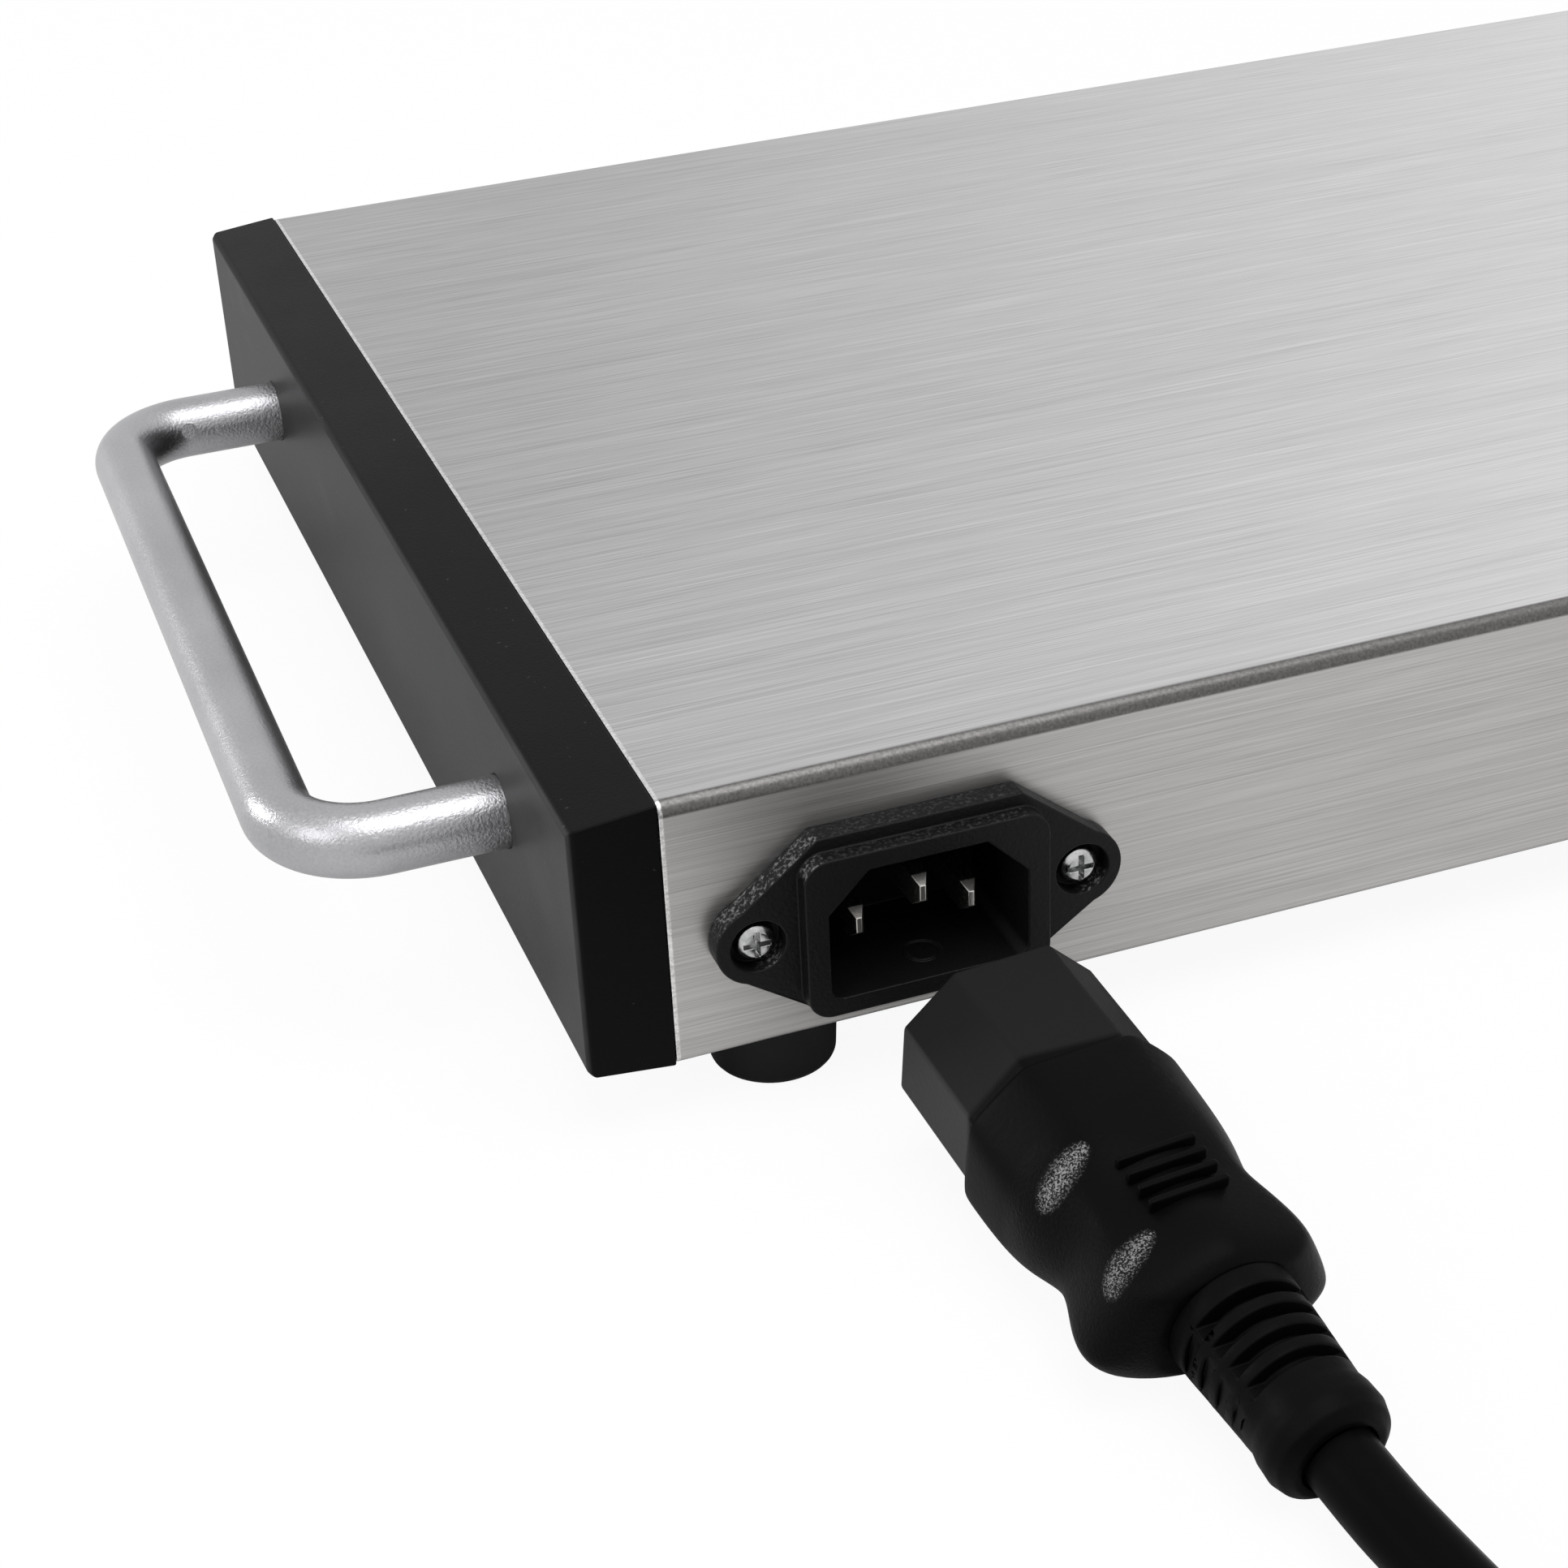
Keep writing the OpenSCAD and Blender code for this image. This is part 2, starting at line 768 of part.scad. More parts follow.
// The middle blade reaches further out, and each has its soldering tab behind
module inlet_pins() {
    color(brass)
        for (s = [-1, 0, 1])
            translate([inlet_x + s * pin_spacing / 2, socket_floor_y,
                    inlet_z + (s == 0 ? pin_rise : -pin_rise)])
                union() {
                    blade(pin_length + (s == 0 ? earth_reach : 0));
                    difference() {
                        translate([-0.4, -socket_back - tab_length, -pin_h / 2])
                            cube([0.8, tab_length - 0.5, pin_h]);
                        translate([-1, -socket_back - tab_length + 2, 0])
                            rod_x(2, 0.7, 24);
                    }
                }
}

module inlet_screws() {
    head = 0.65 * inlet_screw;
    color(zinc)
        inlet_screw_places()
            translate([0, rear_y + ear_floor + head, 0])
                rotate([90, 0, 0])
                    pan_screw(inlet_screw, ear_floor + sheet + nut_m3_height + 0.6, 0.84);
}

module inlet_nuts() {
    color(zinc)
        inlet_screw_places()
            translate([0, rear_y - sheet, 0])
                rotate([90, 0, 0])
                    hex_nut(inlet_screw, nut_m3_across, nut_m3_height);
}

module heat_plate() {
    color(aluminium)
        translate([-stack_x, mid_y - stack_y, heat_z])
            cube([2 * stack_x, 2 * stack_y, heat_plate_thickness]);
}

function run_y(i) = mid_y + (i - (element_runs - 1) / 2) * element_pitch;

module heating_element() {
    tip = 12;
    color([0.35, 0.35, 0.37])
        union() {
            for (i = [0 : element_runs - 1])
                translate([-element_end, run_y(i), element_z])
                    rod_x(2 * element_end, element_r, 32);
            for (i = [0 : element_runs - 2])
                translate([i % 2 == 0 ? element_end : -element_end,
                        (run_y(i) + run_y(i + 1)) / 2, element_z])
                    rotate([0, 0, i % 2 == 0 ? -90 : 90])
                        rotate_extrude(angle = 180, $fn = 64)
                            translate([element_pitch / 2, 0])
                                circle(element_r, $fn = 32);
            for (i = [0, element_runs - 1])
                translate([-element_end - tip, run_y(i), element_z])
                    rod_x(tip + 1, 1.4, 24);
        }
}

// Strap over one run of the element, as (y, z) about the tube's middle
module clip_2d() {
    outer = element_r + clip_sheet;
    difference() {
        union() {
            circle(outer, $fn = 48);
            translate([-outer, 0])
                square([2 * outer, element_r]);
            translate([-outer - clip_foot, element_r - clip_sheet])
                square([2 * (outer + clip_foot), clip_sheet]);
        }
        circle(element_r + screw_play, $fn = 48);
        translate([-element_r - screw_play, 0])
            square([2 * (element_r + screw_play), element_r + 1]);
    }
}

module element_clips() {
    color(zinc)
        for (i = [0 : element_runs - 1])
            for (x = [-0.6, 0, 0.6])
                translate([x * element_end - clip_width / 2, run_y(i), element_z])
                    along_x(clip_width)
                        clip_2d();
}

module insulation_pad() {
    inset = shield_sheet + 0.3;
    color(ceramic)
        translate([-stack_x + inset, mid_y - stack_y + inset, pad_z])
            cube([2 * (stack_x - inset), 2 * (stack_y - inset), pad_thickness]);
}

module heat_shield() {
    color(zinc)
        difference() {
            translate([-stack_x, mid_y - stack_y, shield_z])
                cube([2 * stack_x, 2 * stack_y, heat_z - shield_z]);
            translate([-stack_x + shield_sheet, mid_y - stack_y + shield_sheet,
                    shield_z + shield_sheet])
                cube([2 * (stack_x - shield_sheet), 2 * (stack_y - shield_sheet), heat_z]);
            for (i = [0, element_runs - 1])
                translate([-stack_x - 1, run_y(i), element_z])
                    rod_x(1 + 2 * shield_sheet, element_r - 0.25, 32);
        }
}

module spacer_places() {
    for (sx = [-1, 1])
        for (sy = [-1, 1])
            translate([sx * spacer_x, mid_y + sy * spacer_y, 0])
                children();
}

module shield_spacers() {
    color(brass)
        spacer_places()
            translate([0, 0, plate_z + sheet])
                difference() {
                    cylinder(h = shield_z - plate_z - sheet, r = spacer_r, $fn = 6);
                    translate([0, 0, -eps])
                        cylinder(h = spacer_thread, r = spacer_bore_r, $fn = 32);
                }
}

module spacer_screws() {
    d = 2 * spacer_bore_r;
    color(zinc)
        spacer_places()
            translate([0, 0, plate_z - 0.65 * d])
                pan_screw(d, sheet + spacer_screw_length);
}

module thermal_cutout() {
    x = -stack_x / 2;
    color(black)
        translate([x, mid_y, shield_z - 6])
            union() {
                cylinder(h = 6, r = 8, $fn = 48);
                translate([0, 0, 5])
                    linear_extrude(1)
                        slot_2d(30, 8);
                for (s = [-1, 1])
                    translate([s * 4 - 0.4, -3, -4])
                        cube([0.8, 6, 4]);
            }
}

module terminal_block() {
    length = 36;
    depth = 16;
    height = 11;
    color(ceramic)
        translate([-30, rear_y - 34, plate_z + sheet])
            difference() {
                cube([length, depth, height]);
                for (i = [0 : 2])
                    translate([6 + 12 * i, -1, height / 2])
                        rod_y(depth + 2, 2, 24);
                for (i = [0 : 2])
                    translate([6 + 12 * i, depth / 2, height / 2])
                        cylinder(h = height, r = 1.8, $fn = 24);
            }
}

module thermostat_body() {
    inside_y = front_y + sheet;
    color(ceramic)
        difference() {
            union() {
                translate([knob_x, inside_y, axis_z])
                    along_y(body_d)
                        round_rect(body_w, body_h, 3);
                translate([knob_x, front_y - bush_out, axis_z])
                    rod_y(bush_out + sheet + 1, bush_r);
            }
            translate([knob_x, front_y - bush_out - 1, axis_z])
                rod_y(bush_out + sheet + 12, shaft_r + shaft_play);
        }
}

module thermostat_nut() {
    color(zinc)
        translate([knob_x, front_y - dial_thickness, axis_z])
            rotate([90, 0, 0])
                hex_nut(2 * bush_r, nut_across, nut_height);
}

// Outline of the shaft with its flat, as (x, z)
module shaft_2d() {
    difference() {
        circle(shaft_r, $fn = 48);
        translate([-shaft_r - 1, shaft_r - shaft_flat])
            square(2 * shaft_r + 2);
    }
}

module thermostat_shaft() {
    round_from = front_y - bush_out;
    flat_length = knob_height - bush_out + knob_gap - 3;
    color(zinc)
        difference() {
            translate([knob_x, round_from - flat_length, axis_z])
                rod_y(flat_length + bush_out + sheet + 8, shaft_r);
            translate([knob_x - shaft_r - 1, round_from - flat_length - 1,
                    axis_z + shaft_r - shaft_flat])
                cube([2 * shaft_r + 2, flat_length + 1, 2 * shaft_flat]);
        }
}

// Outline of the knob's fluted grip
module grip_2d() {
    difference() {
        circle(knob_grip_r, $fn = 96);
        for (i = [0 : knob_flutes - 1])
            rotate((i + 0.5) * 360 / knob_flutes)
                translate([knob_grip_r + 0.9, 0])
                    circle(1.7, $fn = 24);
    }
}

// Knob: thin skirt, fluted grip, raised pointer, hollow round the bush and nut
module control_knob() {
    socket_from = bush_out - knob_gap + 0.4;
    color(black)
        translate([knob_x, knob_back_y, axis_z])
            rotate([90, 0, 0])
                difference() {
                    union() {
                        rotate_extrude($fn = 96)
                            polygon([[0, 0], [knob_r, 0], [knob_r, knob_skirt - 1],
                                [knob_r - 1, knob_skirt], [0, knob_skirt]]);
                        translate([0, 0, knob_skirt - 0.5])
                            linear_extrude(knob_height - knob_skirt + 0.5)
                                grip_2d();
                        translate([-0.6, knob_grip_r - 2, knob_skirt - 1])
                            cube([1.2, 2.2, knob_height - knob_skirt]);
                    }
                    translate([0, 0, -1])
                        cylinder(h = socket_from + 1, r = nut_across / 2 + 1.6, $fn = 48);
                    linear_extrude(knob_height - 3)
                        shaft_2d();
                }
}

module dial_ring() {
    color(aluminium)
        translate([knob_x, front_y - dial_thickness, axis_z])
            along_y(dial_thickness)
                difference() {
                    circle(dial_r, $fn = 96);
                    circle(bush_r + clearance, $fn = 48);
                }
}

module lamp_bezel() {
    color(black)
        difference() {
            union() {
                translate([lamp_x, front_y - 1.2, axis_z])
                    rod_y(1.2, lamp_r + 1.2);
                translate([lamp_x, front_y - eps, axis_z])
                    rod_y(14, lamp_r - 0.5);
            }
            translate([lamp_x, front_y - 2, axis_z])
                rod_y(8, lamp_r - 1.3);
        }
}

module lamp_lens() {
    color([0.95, 0.45, 0.12])
        translate([lamp_x, front_y, axis_z])
            rotate([90, 0, 0])
                rotate_extrude($fn = 48)
                    polygon([[0, -6], [lamp_r - 1.3, -6], [lamp_r - 1.3, 1.2],
                        [lamp_r - 1.9, 2], [lamp_r - 3, 2.5], [0, 2.7]]);
}

// Frame of the connector: its axis leaves along +Y, its nose front at the origin
module connector_frame() {
    translate(nose_origin)
        rotate([0, 0, lead_turn])
            rotate([-lead_dip, 0, 0])
                children();
}

// Nose: the upper corners are cut as in the socket, with a slot for each pin in its face
module connector_nose() {
    w = nose_width / 2;
    h = nose_height / 2;
    low_cut = 0.8;
    slot_depth = nose_length - 2;
    color(rubber)
        connector_frame()
            difference() {
                along_y(nose_length)
                    polygon([[-w + low_cut, -h], [w - low_cut, -h], [w, -h + low_cut],
                        [w, h - nose_cut], [w - nose_cut, h], [-w + nose_cut, h],
                        [-w, h - nose_cut], [-w, -h + low_cut]]);
                for (s = [-1, 0, 1])
                    translate([s * pin_spacing / 2, -1, s == 0 ? pin_rise : -pin_rise])
                        along_y(slot_depth + 1)
                            square([pin_w + 0.6, pin_h + 0.6], center = true);
            }
}

// Grip sections: share of its length, half width and half height over the nose's,
// squareness, and the cut at the upper corners
grip_sections = [[0, 0.9, 0.7, 9, 6.2], [0.03, 1.3, 1.1, 9, 6.8], [0.06, 1.4, 1.3, 8, 7],
    [0.28, 1.4, 1.4, 7, 7.4], [0.42, 1.1, 1.1, 5, 7], [0.52, 0.3, 0.6, 3.8, 6.4],
    [0.6, 0, 0.2, 3.2, 6], [0.68, 0.8, 0.4, 2.9, 6.2], [0.77, 2, 0.8, 2.7, 7],
    [0.85, 2.4, 1, 2.6, 7.2], [0.91, 2, 0.9, 2.5, 6.6], [0.96, 0.5, 0.5, 2.4, 5],
    [0.99, -1.6, -0.1, 2.3, 3], [1, -3, -0.5, 2.2, 2]];
grip_points = 40;
function power(v, n) = sign(v) * pow(abs(v), 2 / n);
// A point of a rounded rectangle, drawn in where it lies outside the cut corner
function cut_point(x, z, limit) = z > 0 && abs(x) + z > limit
    ? [x, z] * limit / (abs(x) + z) : [x, z];
function grip_ring(s) = let (w = nose_width / 2 + s[1], h = nose_height / 2 + s[2])
    [for (k = [0 : grip_points - 1])
        let (a = 360 * k / grip_points,
            q = cut_point(w * power(cos(a), s[3]), h * power(sin(a), s[3]), w + h - s[4]))
        [q[0], nose_length + s[0] * grip_length, q[1]]];

module connector_grip() {
    last = len(grip_sections) - 1;
    n = grip_points;
    rings = [for (s = grip_sections) each grip_ring(s)];
    sides = [for (i = [0 : last - 1]) for (k = [0 : n - 1]) let (a = i * n + k,
        b = i * n + (k + 1) % n) each [[a, b, a + n], [b, b + n, a + n]]];
    front = [for (k = [1 : n - 2]) [0, k + 1, k]];
    back = [for (k = [1 : n - 2]) [last * n, last * n + k, last * n + k + 1]];
    rib_z = nose_height / 2 - 0.4;
    color(rubber)
        connector_frame()
            union() {
                polyhedron(rings, concat(sides, front, back), convexity = 4);
                for (i = [0 : 3])
                    translate([-rib_length / 2, nose_length + grip_length * (0.49 + 0.066 * i),
                            rib_z])
                        cube([rib_length, 1, 1.8]);
            }
}

// Strain relief: deep slots above and below, shallow ones across the webs at its sides
module strain_relief() {
    length = relief_length;
    core = cord_r + 1;
    web = 7;
    neck = 2.6;
    bulb = 6;
    top_r = 7.3;
    pitch = (length - neck - bulb) / relief_grooves;
    groove = pitch * 0.5;
    color(rubber)
        connector_frame()
            translate([0, nose_length + grip_length, 0])
                difference() {
                    rotate([-90, 0, 0])
                        rotate_extrude($fn = 64)
                            polygon([[0, 0], [top_r, 0], [top_r - 0.1, neck],
                                [top_r - 0.8, length - bulb], [top_r - 0.5, length - bulb + 1.4],
                                [top_r - 0.4, length - 2.6], [top_r - 0.9, length - 1],
                                [top_r - 2.1, length], [0, length]]);
                    for (i = [0 : relief_grooves - 1])
                        translate([0, neck + i * pitch, 0])
                            difference() {
                                rod_y(groove, top_r + 1);
                                translate([0, -1, 0])
                                    rod_y(groove + 2, core);
                                translate([-top_r + 0.9, -1, -web / 2])
                                    cube([2 * top_r - 1.8, groove + 2, web]);
                            }
                }
}

module cord_run() {
    color(rubber)
        tube(cord_route, cord_r, run_sides);
}

module cord_coil() {
    color(rubber)
        tube(coil_points, cord_r, coil_sides);
}

// Tie: a flat band once round all the turns, beside the coil's +X side
module cord_tie() {
    inner = coil_inner_r - cord_r - tie_gap;
    outer = coil_outer_r + cord_r + tie_gap;
    tall = coil_layer + cord_diameter + 0.5;
    width = outer - inner;
    color(black)
        translate([coil_centre[0] + (inner + outer) / 2, coil_centre[1] - tie_width / 2,
                tie_thickness + tall / 2])
            along_y(tie_width)
                difference() {
                    round_rect(width + 2 * tie_thickness, tall + 2 * tie_thickness, 3);
                    round_rect(width, tall, 3 - tie_thickness);
                }
}

// Plug frame: its axis leaves along +X, the cord's end at the origin
module plug_frame() {
    translate(plug_start)
        children();
}

module plug_body() {
    core = cord_r + 1;
    grooves = 5;
    pitch = 5;
    ribs = [for (i = [0 : grooves - 1]) each [[5.6 + 0.3 * i, 2 + pitch * i],
        [5.8 + 0.3 * i, 4.6 + pitch * i], [core, 4.6 + pitch * i], [core, 7 + pitch * i]]];
    color(rubber)
        plug_frame()
            difference() {
                intersection() {
                    rotate([0, 90, 0])
                        rotate_extrude($fn = 72)
                            polygon(concat([[0, 0], [5, 0]], ribs, [[9, plug_relief],
                                [12, plug_relief + 4], [13, plug_relief + 12],
                                [15.5, plug_relief + 18], [plug_face_r, plug_relief + 22],
                                [plug_face_r, plug_relief + 31], [plug_face_r - 1,
                                plug_relief + 32], [0, plug_relief + 32]]));
                    translate([0, -2 * plug_face_r, -plug_z])
                        cube([3 * plug_relief, 4 * plug_face_r, 2 * plug_z]);
                }
                translate([plug_relief + 22, -2.6, plug_z - 2])
                    cube([20, 5.2, 5]);
                translate([plug_relief + 22, -2.6, -plug_z - 3])
                    cube([20, 5.2, 5]);
            }
}

module plug_pins() {
    pin_r = 2.4;
    pin_out = 19;
    face = plug_relief + 32;
    color(brass)
        plug_frame()
            union() {
                for (s = [-1, 1])
                    translate([face, 9.5 * s, 0])
                        rotate([0, 90, 0])
                            rotate_extrude($fn = 32)
                                polygon([[0, 0], [pin_r, 0], [pin_r, pin_out - 1.6],
                                    [pin_r - 0.5, pin_out - 0.6], [pin_r - 1.4, pin_out],
                                    [0, pin_out]]);
                for (s = [-1, 1])
                    translate([plug_relief + 22, -2, s * (plug_z - 1.6) - 0.4])
                        cube([10, 4, 0.8]);
            }
}

top_shell();
base_plate();
end_cap_right();
end_cap_left();
handle_right();
handle_left();
handle_screws_right();
handle_screws_left();
foot_rear_right();
foot_rear_left();
foot_front_right();
foot_front_left();
foot_screws();
foot_nuts();
inlet_housing();
inlet_pins();
inlet_screws();
inlet_nuts();
heat_plate();
heating_element();
element_clips();
insulation_pad();
heat_shield();
shield_spacers();
spacer_screws();
thermal_cutout();
terminal_block();
thermostat_body();
thermostat_nut();
thermostat_shaft();
control_knob();
dial_ring();
lamp_bezel();
lamp_lens();
connector_nose();
connector_grip();
strain_relief();
cord_run();
cord_coil();
cord_tie();
plug_body();
plug_pins();
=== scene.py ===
import json
import math

import bmesh
import bpy
from mathutils import Matrix, Vector


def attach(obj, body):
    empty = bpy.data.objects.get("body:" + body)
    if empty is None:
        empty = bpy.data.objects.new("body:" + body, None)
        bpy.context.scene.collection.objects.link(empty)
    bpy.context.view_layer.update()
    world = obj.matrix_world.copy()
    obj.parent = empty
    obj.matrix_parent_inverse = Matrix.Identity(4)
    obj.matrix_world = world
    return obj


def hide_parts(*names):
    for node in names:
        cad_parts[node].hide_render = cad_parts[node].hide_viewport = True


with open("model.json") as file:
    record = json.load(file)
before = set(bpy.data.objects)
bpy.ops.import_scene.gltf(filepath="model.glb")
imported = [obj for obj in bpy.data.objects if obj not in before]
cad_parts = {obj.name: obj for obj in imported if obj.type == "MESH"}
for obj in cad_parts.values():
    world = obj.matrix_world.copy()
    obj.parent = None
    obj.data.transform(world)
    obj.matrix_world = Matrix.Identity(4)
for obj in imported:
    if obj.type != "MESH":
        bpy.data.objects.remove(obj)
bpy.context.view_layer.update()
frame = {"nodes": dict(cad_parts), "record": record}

mm = 0.001
nothing = 1e-6  # points closer than this, in metres, are one point
sharpAngle = 28  # degrees between two faces, from which the edge between them is rounded over


# the camera stands behind the end with the inlet and looks down at it
cameraSetup = {
    "place": (0.2659, 0.3804, 0.2118),
    "right": (-0.9384, 0.3426, -0.0442),
    "up": (-0.2107, -0.4662, 0.8592),
    "lens": 69.02,
    "sensor": 36.0,
    "clip": (0.02, 20),
}


def makeCamera(setup):
    data = bpy.data.cameras.new("photoCamera")
    data.lens = setup["lens"]
    data.sensor_width = setup["sensor"]
    data.clip_start, data.clip_end = setup["clip"]
    camera = bpy.data.objects.new("photoCamera", data)
    bpy.context.scene.collection.objects.link(camera)
    right, up = Vector(setup["right"]), Vector(setup["up"])
    turn = Matrix((right, up, right.cross(up))).transposed()
    camera.matrix_world = Matrix.Translation(setup["place"]) @ turn.to_4x4()
    bpy.context.scene.camera = camera


makeCamera(cameraSetup)
bpy.context.scene.view_settings.view_transform = "Standard"
print("camera made")


class Value:  # one socket, with the arithmetic that the finishes use
    def __init__(self, nodes, socket):
        self.nodes, self.socket = nodes, socket

    def maths(self, operation, *values, clamp=False):
        return self.nodes.add("Math", {"operation": operation, "use_clamp": clamp}, values)

    def __add__(self, other):
        return self.maths("ADD", self, other)

    def __radd__(self, other):
        return self.maths("ADD", other, self)

    def __sub__(self, other):
        return self.maths("SUBTRACT", self, other)

    def __rsub__(self, other):
        return self.maths("SUBTRACT", other, self)

    def __mul__(self, other):
        return self.maths("MULTIPLY", self, other)

    def clamped(self):
        return self.maths("ADD", self, 0.0, clamp=True)

    def size(self):
        return self.maths("ABSOLUTE", self)

    def past(self, limit, steepness):
        return ((self - limit) * steepness).clamped()

    def short(self, limit, steepness):
        return ((limit - self) * steepness).clamped()


class Nodes:  # a node tree, with one way to add a node and one to feed a socket
    def __init__(self, tree):
        self.tree = tree

    def link(self, target, value):
        if isinstance(value, Value):
            self.tree.links.new(value.socket, target)
        elif target.type == "RGBA" and len(value) == 3:
            target.default_value = (*value, 1)
        else:
            target.default_value = value

    def add(self, kind, settings=(), inputs=(), out=0):
        node = self.tree.nodes.new("ShaderNode" + kind)
        for name, value in dict(settings).items():
            setattr(node, name, value)
        named = inputs.items() if isinstance(inputs, dict) else enumerate(inputs)
        for name, value in named:
            self.link(node.inputs[name], value)
        return Value(self, node.outputs[out])


class Finish(Nodes):  # one material: a Principled shader and the nodes that feed it
    def __init__(self, name, **constants):
        self.material = bpy.data.materials.new(name)
        self.material.use_nodes = True
        super().__init__(self.material.node_tree)
        self.shader = self.tree.nodes["Principled BSDF"]
        for socket, value in constants.items():
            self.feed(socket, value)
        self.coords = self.add("TexCoord", out="Object")

    def feed(self, socket, value):
        self.link(self.shader.inputs[socket], value)

    def axes(self):
        split = self.add("SeparateXYZ", (), {0: self.coords})
        return [Value(self, socket) for socket in split.socket.node.outputs]

    def lean(self, direction):  # 1 where the surface faces the direction, 0 where it is side-on
        facing = self.add("NewGeometry", out="Normal")
        return self.add("VectorMath", {"operation": "DOT_PRODUCT"}, {0: facing, 1: direction},
                        "Value")

    def distance(self, place):
        return self.add("VectorMath", {"operation": "DISTANCE"}, {0: self.coords, 1: place},
                        "Value")

    def stretched(self, scale):  # object coordinates, drawn out or squeezed along the axes
        return self.add("Mapping", {"vector_type": "POINT"},
                        {"Vector": self.coords, "Scale": scale})

    def noise(self, scale, detail=2.0, rough=0.5, vector=None):
        return self.add("TexNoise", {}, {"Vector": vector or self.coords, "Scale": scale,
                                         "Detail": detail, "Roughness": rough}, "Fac")

    def mix(self, factor, first, second):
        return self.add("Mix", {"data_type": "RGBA"}, {0: factor, 6: first, 7: second}, 2)

    def bump(self, height, distance, strength=1.0):
        return self.add("Bump", {}, {"Height": height, "Distance": distance, "Strength": strength},
                        "Normal")


steelLook = {
    "dark": (0.272, 0.27, 0.273), "light": (0.665, 0.66, 0.665),
    # painted shade on the upright faces
    "paintedShadeSideDark": (0.20, 0.195, 0.19), "paintedShadeSideLight": (0.49, 0.478, 0.468),
    # painted shade on the two upper bends
    "paintedShadeBendDark": (0.065, 0.063, 0.06), "paintedShadeBendLight": (0.125, 0.12, 0.118),
    # painted highlight on the cut ends, over paler bare cut metal
    "cut": (0.95, 0.95, 0.95),
    "hairScale": (55, 6400, 6400), "fineScale": (15, 4100, 4100),
    "bandScale": (7, 190, 190), "cloudScale": (0.5, 1, 1),
    "shares": {"hair": 0.48, "fine": 0.38, "band": 0.05, "cloud": 0.09},
    "contrast": 2.1, "level": 0.74, "rough": 0.37,
    # painted light on the top: paler away from the cap and towards the rear
    "sweep": {"along": 4.8, "across": 2.2, "gain": 0.72, "least": 0.21},
    "capAt": 0.19, "top": 0.0425, "middle": 0.006, "fold": 0.1014, "foldLow": 0.0411,
    "cutEdge": 0.1889,
}


def brushedSteel(look):  # streaks along the tray, with painted light: the top painted paler off the cap, painted shade on the upright faces and upper bends, and a painted highlight on the cut ends
    f = Finish("brushedSteel", Metallic=1.0)
    x, y, z = f.axes()
    hair = f.noise(1.0, 3, 0.65, f.stretched(look["hairScale"]))
    fine = f.noise(1.0, 3, 0.6, f.stretched(look["fineScale"]))
    band = f.noise(1.0, 2, 0.5, f.stretched(look["bandScale"]))
    cloud = f.noise(11.0, 2, 0.5, f.stretched(look["cloudScale"]))
    onTop = z.past(look["top"], 4000)
    sweep, shares = look["sweep"], look["shares"]
    # painted light: the top is painted paler away from the cap and towards the rear
    paintedLightOffCap = ((look["capAt"] - x) * sweep["along"] + y * sweep["across"]).clamped()
    level = onTop * (paintedLightOffCap * sweep["gain"] + sweep["least"] - look["level"]) + look["level"]
    streaks = (hair * shares["hair"] + fine * shares["fine"] + band * shares["band"]
               + cloud * shares["cloud"])
    streaks = ((streaks - 0.5) * look["contrast"] + level).clamped()
    shade = f.mix(streaks, look["dark"], look["light"])
    paintedShadeUpright = 1 - onTop  # painted shade: the upright faces are painted darker and a little warm
    shade = f.mix(paintedShadeUpright, shade, f.mix(streaks, look["paintedShadeSideDark"], look["paintedShadeSideLight"]))
    overFold = (y - look["middle"]).size().past(look["fold"], 3000)
    paintedShadeOnFold = overFold * z.past(look["foldLow"], 3500)  # painted shade: the two upper bends are painted darker still, for a dark reflection
    grit = ((f.noise(2600, 3, 0.7) - 0.5) * 3 + 0.5).clamped()
    shade = f.mix(paintedShadeOnFold * 0.94, shade, f.mix(grit, look["paintedShadeBendDark"], look["paintedShadeBendLight"]))
    cut = x.size().past(look["cutEdge"], 6000)  # the sheet's cut ends, painted pale: partly bare cut metal, partly a painted highlight along the edge
    shade = f.mix(cut * (grit * 0.6 + 0.05), shade, look["cut"])
    f.feed("Base Color", shade)
    f.feed("Roughness", look["rough"] + (fine - 0.5) * 0.12 + (cloud - 0.5) * 0.06 - cut * 0.1)
    f.feed("Normal", f.bump(hair * 0.6 + fine * 0.4, 0.00002, 0.5))
    return f.material


def dullMetal(name, dark, light, rough, grain=900, depth=0.00004):
    f = Finish(name, Metallic=1.0)
    fine = f.noise(grain, 2)
    cloud = f.noise(60, 2)
    f.feed("Base Color", f.mix((cloud * 0.6 + fine * 0.6 - 0.1).clamped(), dark, light))
    f.feed("Roughness", rough + (fine - 0.5) * 0.15)
    f.feed("Normal", f.bump(fine, depth, 0.5))
    return f.material


bladeLook = {
    "flank": (0.07, 0.068, 0.064), "spot": (0.20, 0.19, 0.18), "tip": (0.72, 0.70, 0.67),
    "rough": 0.42,
}


def bladeMetal(look):  # dull flanks, with a painted highlight on the land at each tip, on faces that look along +Y
    f = Finish("nickelBrass", Metallic=1.0)
    spots = f.noise(2600, 2, 0.6)
    # painted highlight on the faces that look along +Y
    paintedHighlight = f.lean((0, 1, 0)).past(0.52, 2.4)
    flank = f.mix(spots.past(0.5, 5), look["flank"], look["spot"])
    f.feed("Base Color", f.mix(paintedHighlight, flank, look["tip"]))
    f.feed("Roughness", look["rough"] - paintedHighlight * 0.12)
    f.feed("Normal", f.bump(spots, 0.00003, 0.5))
    return f.material


